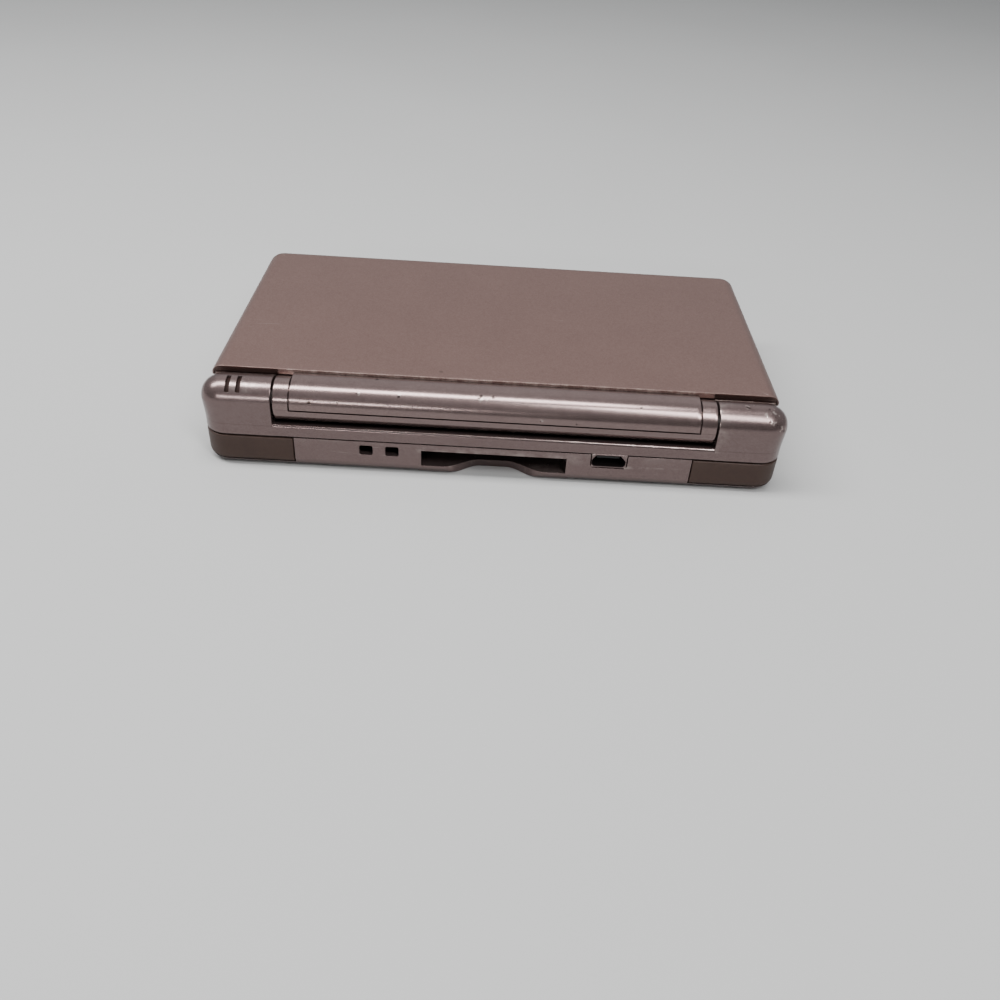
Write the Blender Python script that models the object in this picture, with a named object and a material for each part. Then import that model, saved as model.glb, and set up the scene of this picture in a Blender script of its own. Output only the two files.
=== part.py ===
# Clamshell handheld game console, closed. Metres, +Z up.
# The origin is the bottom centre. +X is the player's right, -Y faces the player, the hinge is at +Y.

import math

import bmesh
import bpy
from mathutils import Vector

for old in list(bpy.data.objects):
    bpy.data.objects.remove(old, do_unlink=True)

# Driving dimensions of the whole console
body_width = 0.133
body_depth = 0.0739
body_height = 0.0215
ear_length = 0.0165
lid_open_angle = math.radians(155)

# Heights as shares of the closed console's height, from the seam of the case up to the lid
case_seam_share = 0.386
deck_share = 0.5256
lid_rim_share = 0.5442
lid_floor_share = 0.5721
lid_seam_share = 0.786
hinge_share = 0.7302
barrel_radius_share = 0.2302

# Gaps: between pieces that touch, at a visible seam, and round a piece that moves
fit_gap = 0.0003
seam_gap = 0.00025
run_gap = 0.00035

# Walls and roundings
case_wall = 0.0016
case_floor = 0.0012
case_corner_radius = 0.0055
case_bottom_round = 0.0026
deck_thickness = 0.0012
deck_edge_round = 0.0007
deck_wall = 0.0015
lid_side_inset = 0.0017
lid_wall = 0.0014
lid_corner_radius = 0.004
lid_rear_corner_radius = 0.003
lid_top_round = 0.00315
lid_floor_round = 0.0008
lid_front_inset = 0.0003
lid_rim_width = 0.0016
lid_neck_rim = 0.0022

# Hinge ears, barrel cover and what turns inside them
ear_end_round = 0.003
barrel_end_length = 0.004
cover_thickness = 0.001
cover_lip_angle = math.radians(119)
cover_swell_angle = math.radians(70)
cover_lip_swell = 0.0008
barrel_wall = 0.00125
pin_radius = 0.0016
pin_reach_in_ear = 0.007
pin_reach_in_barrel = 0.01
clutch_length = 0.013
trough_clearance = 0.00065
rear_beam_depth = 0.0094
cable_slot_half_width = 0.01
cable_bore_gap = 0.0009
cable_thickness = 0.0004
cable_length = 0.018
cable_offset = 0.021
cable_open_angle = math.radians(50)
mic_radius = 0.002
mic_thickness = 0.0016
mic_hole_radius = 0.0005
mic_hole_angle = math.radians(290)
light_shares = (0.4485, 0.594)
light_width = 0.001
light_depth = 0.0012
light_start_angle = math.radians(40)
light_end_angle = math.radians(90)

# Displays and their windows
window_width_share = 0.4962
window_depth_share = 0.6495
window_corner_radius = 0.001
touch_panel_thickness = 0.0008
touch_panel_recess = 0.0002
display_side_margin = 0.002
display_end_margin = 0.00075
lower_display_rear_gap = 0.0006
upper_display_rear_gap = 0.0018
display_thickness = 0.00105
upper_display_thickness = 0.0022

# Speakers, their holes, lid pads, lid screws and the antenna
speaker_offset_share = 0.7293
speaker_width = 0.014
speaker_depth = 0.02
speaker_thickness = 0.0026
speaker_edge = 0.0003
speaker_hole_radius = 0.0006
speaker_hole_pitch = 0.0034
speaker_hole_rows = 3
speaker_hole_columns = 2
pad_side_inset = 0.007
pad_front_inset = 0.00575
pad_radius = 0.0018
pad_thickness = 0.001
pad_recess = 0.0004
lid_screw_side_inset = 0.013
lid_screw_length = 0.0032
antenna_width = 0.03
antenna_depth = 0.0036
antenna_thickness = 0.0008
antenna_rear_gap = 0.0004

# Main board and the modules on it
board_seam_gap = 0.0001
board_thickness = 0.0007
board_side_inset = 0.003
board_front_inset = 0.00995
board_stylus_gap = 0.00135
board_notch_side_gap = 0.0017
board_notch_rear_gap = 0.0012
wireless_width = 0.018
wireless_depth = 0.012
wireless_thickness = 0.0026
wireless_card_gap = 0.008
wireless_board_inset = 0.0015

# Game card slot at the rear, with its sliding carriage
card_slot_centre = -0.0002
card_slot_width = 0.0335
card_slot_low_share = 0.1116
card_slot_high_share = 0.3047
card_cage_wall = 0.0007
card_cage_roof = 0.00035
card_cage_length = 0.02715
card_sill_depth = 0.0045
card_sill_side = 0.0008
scoop_radius = 0.02
scoop_depth = 0.0036
carriage_depth = 0.0025
carriage_travel = 0.003
carriage_clearance = 0.0005
card_spring_radius = 0.0011
card_spring_gap = 0.0003

# Cartridge slot at the front, with its dust cover
cartridge_slot_half_width = 0.0288
cartridge_slot_low_share = 0.0698
cartridge_cage_wall = 0.0005
cage_spacing = 0.012
cartridge_cage_floor = 0.0004
cover_plug_depth = 0.008
cover_plug_wall = 0.0012

# Sockets and strap holes
charge_socket_share = -0.4045
charge_socket_width = 0.0091
charge_socket_low_share = 0.2186
charge_socket_depth = 0.0095
charge_mouth_width = 0.0066
charge_mouth_height = 0.0016
charge_mouth_depth = 0.005
charge_tongue_height = 0.0004
strap_hole_shares = (0.4406, 0.3504)
strap_hole_width = 0.0031
strap_hole_low_share = 0.2186
strap_hole_high_share = 0.3302
strap_hole_round = 0.0006
jack_side_inset = 0.0205
jack_height_share = 0.214
jack_radius = 0.0018
jack_width = 0.0066
jack_body_floor_gap = 0.0004
jack_body_top_gap = 0.0003
jack_length = 0.012
jack_collar_radius = 0.0026

# Battery and its cover
battery_side_inset = 0.0065
battery_card_gap = 0.00305
battery_cartridge_gap = 0.001
battery_board_inset = 0.0009
battery_floor_gap = 0.0004
battery_board_gap = 0.0003
battery_round = 0.0012
battery_cover_margin = 0.0012
battery_cover_recess = 0.00015
battery_screw_side_gap = 0.005

# Screws
screw_head_radius = 0.0016
screw_head_thickness = 0.0011
screw_shank_radius = 0.0008
screw_recess = 0.0004
screw_slot_width = 0.0004
screw_slot_depth = 0.0004
case_screw_side_inset = 0.0068
case_screw_front_inset = 0.00635
case_screw_rear_inset = 0.00725
case_screw_trigger_gaps = (0.0046, 0.0076)
boss_radius = 0.0026
boss_top_gap = 0.000275
boss_head_floor = 0.0023
battery_screw_share = 0.2093
lid_screw_head_radius = 0.0014

# Shoulder buttons
trigger_width = 0.0209
trigger_depth = 0.00675
trigger_low = 0.0014
trigger_wall = 0.0022
trigger_pivot_inset = (0.0059, 0.00415)
trigger_boss_radius = 0.0019
trigger_pin_radius = 0.0008
trigger_pin_proud = 0.0001
trigger_spring_inset = 0.0039
trigger_spring_radius = 0.0012
trigger_spring_length = 0.0026
trigger_spring_gap = 0.0014
trigger_spring_rest = 0.001

# Direction pad
pad_cross_shares = (-0.7444, 0.0541)
cross_half_span = 0.0086
cross_half_arm = 0.003
cross_round = 0.00035
cross_proud = 0.00045
cross_clearance = 0.0004
cross_skirt_radius = 0.005
rocker_radius = 0.0018

# Stack under the pad and the buttons, as shares of the room between the board and the deck
mat_gap_share = 0.105
mat_share = 0.158
rocker_gap_share = 0.079
rocker_share = 0.184
skirt_share = 0.184
skirt_gap_share = 0.21
flange_share = 0.21
flange_gap_share = 0.13

# Face buttons, and the two small menu buttons
face_shares = (0.7444, 0.0541)
face_spacing = 0.0071
face_radius = 0.0033
face_proud = 0.0005
face_clearance = 0.0003
face_flange = 0.0007
button_crown = 0.0004
menu_shares = ((0.6391, -0.4466), (0.6391, -0.6225))
menu_radius = 0.0018
menu_proud = 0.0003
mat_margin = 0.0012

# Sliders, their slots and the switches behind them
power_slider_share = 0.2842
power_slider_length = 0.006
power_slider_height = 0.0018
slider_height_share = 0.214
power_travel = 0.0025
volume_slider_inset = 0.014
volume_slider_length = 0.004
volume_travel = 0.006
slider_foot_length = 0.008
slider_foot_height = 0.0034
slider_foot_thickness = 0.001
slider_recess = 0.0003
slider_foot_overhang = 0.0004
switch_depth = 0.0035
switch_height = 0.0036
switch_length = 0.011

# Stylus, lying across the console behind the lower display
stylus_length_share = 0.65
stylus_width = 0.0049
stylus_card_gap = 0.00025
stylus_height_share = 0.1488
stylus_beam_gap = 0.0008
stylus_tip_length = 0.006
stylus_tip_radius = 0.0007
stylus_end_recess = 0.0002

# Steps of the round shapes
corner_steps = 5
edge_steps = 3
soft_edge_steps = 2
lid_round_steps = 4
chamfer_steps = 1
round_steps = 20
small_round_steps = 12
fine_hole_steps = 8
ear_steps = 28
barrel_steps = 56
cover_steps = 16
scoop_steps = 60
light_steps = 6
round_profile = 0.5

# How far a cutter overruns, and how near two points or levels count as one
overshoot = 0.002
merge_distance = 0.000002
level_distance = 0.00002
sharp_angle = math.radians(30)
up_angle = math.radians(90)
half_turn = math.radians(180)
full_turn = math.radians(360)

# Colour, roughness and metallic value of each kind of surface
shell_look = ((0.27, 0.17, 0.15, 1.0), 0.45, 0.55)
barrel_look = ((0.52, 0.40, 0.37, 1.0), 0.25, 0.75)
trigger_look = ((0.09, 0.058, 0.048, 1.0), 0.5, 0.1)
button_look = ((0.24, 0.15, 0.13, 1.0), 0.4, 0.3)
black_look = ((0.01, 0.01, 0.011, 1.0), 0.45, 0.0)
glass_look = ((0.02, 0.022, 0.025, 1.0), 0.08, 0.0)
steel_look = ((0.55, 0.55, 0.56, 1.0), 0.3, 1.0)
rubber_look = ((0.05, 0.05, 0.05, 1.0), 0.8, 0.0)
board_look = ((0.02, 0.12, 0.05, 1.0), 0.5, 0.0)
battery_look = ((0.12, 0.12, 0.13, 1.0), 0.5, 0.0)
cable_look = ((0.35, 0.16, 0.03, 1.0), 0.5, 0.0)
light_look = ((0.16, 0.12, 0.11, 1.0), 0.3, 0.0)
mat_look = ((0.3, 0.3, 0.3, 1.0), 0.8, 0.0)

# Worked out from the driving dimensions
half_width = body_width / 2
half_depth = body_depth / 2
case_seam_height = body_height * case_seam_share
deck_height = body_height * deck_share
lid_rim_height = body_height * lid_rim_share
lid_floor_height = body_height * lid_floor_share
lid_seam_height = body_height * lid_seam_share
case_top = case_seam_height - seam_gap / 2
cover_low = case_seam_height + seam_gap / 2
deck_floor = deck_height - deck_thickness

hinge_height = body_height * hinge_share
barrel_radius = body_height * barrel_radius_share
hinge_y = half_depth - barrel_radius
axis_point = Vector((0, hinge_y, hinge_height))
barrel_half_length = half_width - ear_length
cover_half_length = barrel_half_length - barrel_end_length
barrel_bore_radius = barrel_radius - barrel_wall
clutch_radius = barrel_bore_radius - fit_gap
cable_radius = barrel_bore_radius - cable_bore_gap
bore_radius = pin_radius + fit_gap
cove_radius = barrel_radius + run_gap
beam_front = half_depth - rear_beam_depth
light_offsets = [barrel_half_length + ear_length * share for share in light_shares]

stylus_length = body_width * stylus_length_share
stylus_height = body_height * stylus_height_share
card_slot_low = body_height * card_slot_low_share
card_slot_high = body_height * card_slot_high_share
stylus_low = card_slot_high + card_cage_roof + stylus_card_gap
stylus_y = beam_front - stylus_beam_gap - stylus_width / 2
window_width = body_width * window_width_share
window_depth = body_depth * window_depth_share
display_width = window_width + display_side_margin * 2
display_depth = window_depth + display_end_margin * 2
lower_window_centre = stylus_y - stylus_width / 2 - lower_display_rear_gap - display_depth / 2
lid_half_width = half_width - lid_side_inset
lid_slope = half_turn - lid_open_angle
lid_room_rear = hinge_y - cove_radius - lid_wall
antenna_centre = lid_room_rear - antenna_rear_gap - antenna_depth / 2
upper_window_centre = antenna_centre - antenna_depth / 2 - upper_display_rear_gap - display_depth / 2
speaker_offset = half_width * speaker_offset_share
pad_offset = half_width - pad_side_inset
pad_front = pad_front_inset - half_depth
lid_screw_offset = half_width - lid_screw_side_inset

board_top = case_seam_height - board_seam_gap
board_bottom = board_top - board_thickness
board_half_width = half_width - board_side_inset
board_front = board_front_inset - half_depth
board_rear = stylus_y - stylus_width / 2 - board_stylus_gap
card_cage_rear = half_depth - card_sill_depth - fit_gap
card_cage_front = card_cage_rear - card_cage_length
cartridge_slot_low = body_height * cartridge_slot_low_share
cartridge_cage_rear = card_cage_front - cage_spacing
wireless_centre = (card_slot_width / 2 + wireless_card_gap + wireless_width / 2,
                   board_rear - wireless_board_inset - wireless_depth / 2)
charge_socket_centre = half_width * charge_socket_share
charge_socket_low = body_height * charge_socket_low_share
strap_hole_centres = [half_width * share for share in strap_hole_shares]
strap_hole_low = body_height * strap_hole_low_share
strap_hole_high = body_height * strap_hole_high_share
jack_centre = half_width - jack_side_inset
jack_height = body_height * jack_height_share

battery_x = (battery_side_inset - half_width, -card_slot_width / 2 - card_cage_wall - battery_card_gap)
battery_y = (cartridge_cage_rear + battery_cartridge_gap, board_rear - battery_board_inset)
battery_low = case_floor + battery_floor_gap
battery_high = board_bottom - battery_board_gap
battery_screw_place = (battery_x[1] + battery_screw_side_gap, (cartridge_cage_rear + card_cage_front) / 2)
battery_screw_top = body_height * battery_screw_share
boss_top = case_top - boss_top_gap

trigger_inner = half_width - trigger_width
trigger_front = half_depth - trigger_depth
trigger_pivot = (half_width - trigger_pivot_inset[0], half_depth - trigger_pivot_inset[1])
trigger_spring_offset = trigger_inner + trigger_spring_inset
trigger_spring_rear = half_depth - trigger_wall - trigger_spring_gap
front_screw_place = (half_width - case_screw_side_inset, case_screw_front_inset - half_depth)
rear_screw_y = half_depth - case_screw_rear_inset
case_screw_places = ((-front_screw_place[0], front_screw_place[1]), front_screw_place,
                     (case_screw_trigger_gaps[0] - trigger_inner, rear_screw_y),
                     (trigger_inner - case_screw_trigger_gaps[1], rear_screw_y))
key_room = deck_floor - board_top
mat_low = board_top + key_room * mat_gap_share
mat_thickness = key_room * mat_share
rocker_low = mat_low + mat_thickness + key_room * rocker_gap_share
rocker_height = key_room * rocker_share
skirt_top = deck_floor - key_room * skirt_gap_share
skirt_thickness = key_room * skirt_share
flange_top = deck_floor - key_room * flange_gap_share
flange_low = flange_top - key_room * flange_share
pad_cross_centre = (half_width * pad_cross_shares[0], half_depth * pad_cross_shares[1])
face_centre = (half_width * face_shares[0], half_depth * face_shares[1])
menu_places = [(half_width * across, half_depth * along) for across, along in menu_shares]
slider_centre_height = body_height * slider_height_share
power_slider_y = half_depth * power_slider_share
volume_slider_x = volume_slider_inset - half_width


def lid_rear_at(rise):
    """How far back the lid reaches at a height above the hinge axis, to clear the ears when open."""
    return hinge_y - cove_radius / math.cos(lid_slope) + rise * math.tan(lid_slope)


# Outlines

def arc(centre, radius, start, end, steps):
    """Points of an arc, both ends included."""
    turns = [start + (end - start) * i / steps for i in range(steps + 1)]
    return [(centre[0] + radius * math.cos(t), centre[1] + radius * math.sin(t)) for t in turns]


def circle(centre, radius, steps):
    return arc(centre, radius, 0, full_turn, steps)[:-1]


def rounded_rectangle(x, y, front_radius, rear_radius, steps=corner_steps):
    """Outline of a rectangle from its two ranges, with one radius at each end of its depth."""
    points = []
    corners = ((x[1], y[1], rear_radius, 0), (x[0], y[1], rear_radius, 1),
               (x[0], y[0], front_radius, 2), (x[1], y[0], front_radius, 3))
    for corner_x, corner_y, radius, quarter in corners:
        inward_x = -1 if corner_x == x[1] else 1
        inward_y = -1 if corner_y == y[1] else 1
        centre = (corner_x + inward_x * radius, corner_y + inward_y * radius)
        points += arc(centre, radius, up_angle * quarter, up_angle * (quarter + 1), steps)
    return points


def case_outline(inset=0):
    return rounded_rectangle((-half_width + inset, half_width - inset),
                             (-half_depth + inset, half_depth - inset),
                             case_corner_radius - inset, case_corner_radius - inset)


# Meshes

def swept(outline, low, high, axis="Z"):
    """A closed outline carried along an axis between two heights."""
    place = {"X": lambda a, b, c: (c, a, b),
             "Y": lambda a, b, c: (a, c, b),
             "Z": lambda a, b, c: (a, b, c)}
    bm = bmesh.new()
    base = bm.faces.new([bm.verts.new(place[axis](a, b, low)) for a, b in outline])
    grown = bmesh.ops.extrude_face_region(bm, geom=[base])["geom"]
    moved = [item for item in grown if isinstance(item, bmesh.types.BMVert)]
    bmesh.ops.translate(bm, vec=Vector(place[axis](0, 0, high - low)), verts=moved)
    bmesh.ops.recalc_face_normals(bm, faces=bm.faces)
    return bm


def box(x, y, z):
    return swept([(x[0], y[0]), (x[1], y[0]), (x[1], y[1]), (x[0], y[1])], z[0], z[1])


def around(centre, half):
    return centre - half, centre + half


def rod(centre, radius, low, high, axis="Z", steps=small_round_steps):
    return swept(circle(centre, radius, steps), low, high, axis)


def turned(profile, steps=small_round_steps):
    """A profile of radii and heights, turned about the Z axis."""
    bm = bmesh.new()
    ring = [bm.verts.new((radius, 0, height)) for radius, height in profile]
    edges = [bm.edges.new(pair) for pair in zip(ring, ring[1:])]
    bmesh.ops.spin(bm, geom=ring + edges, cent=(0, 0, 0), axis=(0, 0, 1), angle=full_turn,
                   steps=steps, use_merge=True)
    bmesh.ops.remove_doubles(bm, verts=bm.verts, dist=merge_distance)
    bmesh.ops.recalc_face_normals(bm, faces=bm.faces)
    return bm


def shifted(bm, x=0, y=0, z=0):
    bmesh.ops.translate(bm, vec=Vector((x, y, z)), verts=bm.verts)
    return bm


def rounded(bm, chosen, radius, steps=edge_steps):
    """Rounds the edges whose two ends pass the test."""
    edges = [edge for edge in bm.edges if all(chosen(vert.co) for vert in edge.verts)]
    bmesh.ops.bevel(bm, geom=edges, offset=radius, offset_type="OFFSET", segments=steps,
                    profile=round_profile, affect="EDGES", clamp_overlap=False)
    return bm


def near(value, level):
    return abs(value - level) < level_distance


# Objects

def new_object(name, bm, origin, parent):
    mesh = bpy.data.meshes.new(name)
    shifted(bm, *(-Vector(origin)))
    bm.to_mesh(mesh)
    bm.free()
    mesh.shade_smooth()
    mesh.set_sharp_from_angle(angle=sharp_angle)
    made = bpy.data.objects.new(name, mesh)
    bpy.context.scene.collection.objects.link(made)
    made.parent = parent
    made.location = Vector(origin) - (parent.location if parent else Vector())
    return made


def piece(name, bm, look, origin=(0, 0, 0), parent=None):
    """One named sub-part with its own material; its mesh is given in the console's frame."""
    made = new_object(name, bm, origin, parent)
    colour, roughness, metallic = look
    surface = bpy.data.materials.new(name + "_surface")
    surface.use_nodes = True
    shader = surface.node_tree.nodes["Principled BSDF"]
    shader.inputs["Base Color"].default_value = colour
    shader.inputs["Roughness"].default_value = roughness
    shader.inputs["Metallic"].default_value = metallic
    surface.diffuse_color = colour
    made.data.materials.append(surface)
    return made


def combined(target, bm, operation, label):
    """Adds a Boolean with a hidden helper that follows the target's parent."""
    helper = new_object(f"{target.name}_{label}", bm, (0, 0, 0), target.parent)
    helper.hide_render = True
    helper.display_type = "WIRE"
    modifier = target.modifiers.new(label, "BOOLEAN")
    modifier.operation = operation
    modifier.solver = "EXACT"
    modifier.object = helper


def cut(target, bm, label):
    combined(target, bm, "DIFFERENCE", label)


def join(target, bm, label):
    combined(target, bm, "UNION", label)


def keep(target, bm, label):
    combined(target, bm, "INTERSECT", label)


def empty(name, place):
    made = bpy.data.objects.new(name, None)
    made.location = place
    bpy.context.scene.collection.objects.link(made)
    return made


lid_hinge = empty("lid_hinge", axis_point)


# Screws, each with a cross slot in its head

def screw(name, x, y, low, high, head_radius=screw_head_radius, parent=None):
    """An upright screw whose head is at its low end."""
    head = screw_head_thickness
    profile = [(0, 0), (head_radius, 0), (head_radius, head), (screw_shank_radius, head),
               (screw_shank_radius, high - low), (0, high - low)]
    made = piece(name, shifted(turned(profile), x, y, low), steel_look, parent=parent)
    slots = (("slot_x", head_radius, screw_slot_width), ("slot_y", screw_slot_width, head_radius))
    for label, wide, deep in slots:
        cut(made, box(around(x, wide / 2), around(y, deep / 2), around(low, screw_slot_depth)), label)


# Bottom case

def case_solid(low=0, high=case_top):
    bm = swept(case_outline(), low, high)
    return rounded(bm, lambda co: near(co.z, 0), case_bottom_round)


def trigger_space(side, margin, high):
    """Where a shoulder button lies, in from the case by a margin."""
    x = sorted((side * (trigger_inner + margin), side * (half_width + overshoot)))
    return box(x, (trigger_front + margin, half_depth + overshoot), (trigger_low + margin, high))


def stylus_outline(grown=0):
    """The stylus across its length: flat top and bottom, round sides."""
    radius = stylus_height / 2 + grown
    reach = stylus_width / 2 - stylus_height / 2
    height = stylus_low + stylus_height / 2
    right = arc((stylus_y + reach, height), radius, -up_angle, up_angle, corner_steps)
    left = arc((stylus_y - reach, height), radius, up_angle, up_angle + half_turn, corner_steps)
    return right + left


def make_bottom_case():
    case = piece("bottom_case", case_solid(), shell_look)
    cut(case, swept(case_outline(case_wall), case_floor, case_top + overshoot), "inside")
    for number, (x, y) in enumerate(case_screw_places):
        join(case, rod((x, y), boss_radius, case_floor / 2, boss_top), f"boss_{number}")
    join(case, rod(battery_screw_place, boss_radius, case_floor / 2,
                   battery_screw_top + fit_gap), "battery_boss")
    sill_x = around(card_slot_centre, card_slot_width / 2 + card_sill_side)
    join(case, box(sill_x, (half_depth - card_sill_depth, half_depth - case_wall / 2),
                   (case_floor / 2, card_slot_low)), "card_sill")
    for side, label in ((-1, "left"), (1, "right")):
        seat = trigger_spring_rear - trigger_spring_length - fit_gap
        rest_x = around(side * trigger_spring_offset, trigger_spring_radius)
        join(case, box(rest_x, (seat - trigger_spring_rest, seat), (case_floor / 2, boss_top)),
             f"{label}_spring_rest")
        x = side * trigger_pivot[0]
        join(case, rod((x, trigger_pivot[1]), trigger_boss_radius, case_floor / 2, trigger_low + fit_gap),
             f"{label}_pivot_seat")
        cut(case, trigger_space(side, 0, case_top + overshoot), f"{label}_button_space")
        cut(case, rod((x, trigger_pivot[1]), trigger_pin_radius + fit_gap, case_floor / 2,
                      case_top), f"{label}_pin_hole")
    for number, (x, y) in enumerate(case_screw_places):
        cut(case, rod((x, y), screw_shank_radius + fit_gap, -overshoot, boss_top + overshoot),
            f"screw_hole_{number}")
        cut(case, rod((x, y), screw_head_radius + fit_gap, -overshoot, boss_head_floor),
            f"screw_head_{number}")
    cut(case, rod(battery_screw_place, screw_shank_radius + fit_gap, -overshoot, case_top),
        "battery_screw_hole")
    cut(case, rod(battery_screw_place, screw_head_radius + fit_gap, -overshoot, boss_head_floor),
        "battery_screw_head")
    rear = (half_depth - case_wall - card_sill_depth, half_depth + overshoot)
    cut(case, box(around(card_slot_centre, card_slot_width / 2), rear, (card_slot_low, card_slot_high)),
        "card_mouth")
    scoop = (card_slot_centre, half_depth - scoop_depth + scoop_radius)
    cut(case, rod(scoop, scoop_radius, -overshoot, card_slot_low + fit_gap, steps=scoop_steps),
        "finger_scoop")
    cut(case, box(around(charge_socket_centre, charge_socket_width / 2), rear,
                  (charge_socket_low, case_top + overshoot)), "charge_mouth")
    for number, x in enumerate(strap_hole_centres):
        hole = rounded_rectangle(around(x, strap_hole_width / 2), (strap_hole_low, strap_hole_high),
                                 strap_hole_round, strap_hole_round, edge_steps)
        cut(case, swept(hole, half_depth - case_wall - overshoot / 2, rear[1], "Y"),
            f"strap_hole_{number}")
    front = (-half_depth - overshoot, -half_depth + case_wall + overshoot / 2)
    cut(case, box((-cartridge_slot_half_width, cartridge_slot_half_width), front,
                  (cartridge_slot_low, case_top + overshoot)), "cartridge_mouth")
    cut(case, rod((jack_centre, jack_height), jack_collar_radius + fit_gap, front[0], front[1], "Y"),
        "jack_hole")
    slot = around(slider_centre_height, power_slider_height / 2 + run_gap)
    volume_reach = volume_slider_length / 2 + run_gap
    volume_x = (volume_slider_x - volume_reach, volume_slider_x + volume_reach + volume_travel)
    cut(case, box(volume_x, front, slot), "volume_slot")
    power_reach = power_slider_length / 2 + run_gap
    power_y = (power_slider_y - power_reach, power_slider_y + power_reach + power_travel)
    cut(case, box((half_width - case_wall - overshoot / 2, half_width + overshoot), power_y, slot),
        "power_slot")
    cut(case, swept(stylus_outline(run_gap), 0, half_width + overshoot, "X"), "stylus_hole")
    cover_x, cover_y = battery_cover_area(seam_gap)
    cut(case, box(cover_x, cover_y, (-overshoot, case_floor + overshoot / 2)), "battery_door")


def battery_cover_area(grown):
    margin = battery_cover_margin + grown
    return ((battery_x[0] - margin, battery_x[1] + margin),
            (battery_y[0] - margin, battery_y[1] + margin))


def make_battery_and_cover():
    cover_x, cover_y = battery_cover_area(0)
    door = box(cover_x, cover_y, (battery_cover_recess, case_floor))
    piece("battery_cover", door, shell_look)
    cell = box(battery_x, battery_y, (battery_low, battery_high))
    piece("battery", rounded(cell, lambda co: True, battery_round, soft_edge_steps), battery_look)
    screw("battery_cover_screw", *battery_screw_place, screw_recess, battery_screw_top)
    for number, (x, y) in enumerate(case_screw_places):
        screw(f"case_screw_{number + 1}", x, y, screw_recess, boss_top)


# Base cover with the deck, the rear beam and the two hinge ears

def ear_solid(side):
    """A round ear about the hinge axis on an upright foot, its outer end rounded."""
    top = arc((hinge_y, hinge_height), barrel_radius, 0, half_turn + up_angle, ear_steps)
    foot_low = cover_low + fit_gap
    profile = top + [(hinge_y, foot_low), (half_depth, foot_low)]
    inner = side * (barrel_half_length + run_gap / 2)
    outer = side * half_width
    bm = swept(profile, min(inner, outer), max(inner, outer), "X")
    return rounded(bm, lambda co: near(co.x, outer) and co.z > cover_low + overshoot, ear_end_round)


def face_places():
    x, y = face_centre
    return {"face_button_top": (x, y + face_spacing), "face_button_right": (x + face_spacing, y),
            "face_button_bottom": (x, y - face_spacing), "face_button_left": (x - face_spacing, y)}


def cross_outline(grown=0):
    x, y = pad_cross_centre
    span, arm = cross_half_span + grown, cross_half_arm + grown
    quarter = [(span, -arm), (span, arm), (arm, arm)]
    points = []
    for turn in range(4):
        c, s = math.cos(up_angle * turn), math.sin(up_angle * turn)
        points += [(x + a * c - b * s, y + a * s + b * c) for a, b in quarter]
    return points


def lower_window(grown):
    return rounded_rectangle(around(0, window_width / 2 + grown),
                             around(lower_window_centre, window_depth / 2 + grown),
                             window_corner_radius, window_corner_radius, soft_edge_steps)


def make_base_cover():
    plate = swept(case_outline(), cover_low, deck_height)
    plate = rounded(plate, lambda co: near(co.z, deck_height), deck_edge_round, soft_edge_steps)
    cover = piece("base_cover", plate, shell_look)
    inside = rounded_rectangle((-half_width + deck_wall, half_width - deck_wall),
                               (-half_depth + deck_wall, beam_front),
                               case_corner_radius - deck_wall, case_wall)
    cut(cover, swept(inside, cover_low - overshoot, deck_floor), "inside")
    tall = swept(case_outline(), cover_low, body_height)
    for side, label in ((-1, "left"), (1, "right")):
        ear = new_object(f"{label}_ear", ear_solid(side), (0, 0, 0), None)
        ear.hide_render = True
        ear.display_type = "WIRE"
        keep(ear, tall.copy(), "rear_corner")
        modifier = cover.modifiers.new(f"{label}_ear", "BOOLEAN")
        modifier.operation = "UNION"
        modifier.object = ear
    tall.free()
    trough = rod((hinge_y, hinge_height), barrel_radius + trough_clearance,
                 -barrel_half_length - run_gap / 2, barrel_half_length + run_gap / 2, "X", barrel_steps)
    cut(cover, trough, "trough")
    for side, label in ((-1, "left"), (1, "right")):
        deep = barrel_half_length + pin_reach_in_ear + fit_gap
        reach = sorted((side * barrel_half_length, side * deep))
        cut(cover, rod((hinge_y, hinge_height), bore_radius, reach[0], reach[1], "X"), f"{label}_bore")
    for number, x in enumerate(light_offsets):
        cut(cover, light_solid(x, fit_gap / 2), f"light_slit_{number}")
    through = (deck_floor - overshoot, deck_height + overshoot)
    cut(cover, swept(lower_window(0), *through), "display_window")
    cut(cover, swept(cross_outline(cross_clearance), *through), "cross_hole")
    for name, place in face_places().items():
        cut(cover, rod(place, face_radius + face_clearance, *through, steps=round_steps), name + "_hole")
    for number, place in enumerate(menu_places):
        cut(cover, rod(place, menu_radius + face_clearance, *through), f"menu_hole_{number}")
    tunnel = swept(stylus_outline(run_gap), stylus_start() - overshoot, half_width + overshoot, "X")
    cut(cover, tunnel, "stylus_hole")


def light_solid(x, grown):
    """A curved light strip set in the round of the ear, or the slit for it when it is grown."""
    centre = (hinge_y, hinge_height)
    proud = overshoot if grown else 0
    start, end = light_start_angle - grown / barrel_radius, light_end_angle + grown / barrel_radius
    top = arc(centre, barrel_radius + proud, start, end, light_steps)
    low = arc(centre, barrel_radius - light_depth - grown, end, start, light_steps)
    return swept(top + low, x - light_width / 2 - grown, x + light_width / 2 + grown, "X")


def make_lights():
    for name, x in zip(("power_light", "charge_light"), light_offsets):
        piece(name, light_solid(x, 0), light_look)


# Shoulder buttons with their pins and springs

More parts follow.
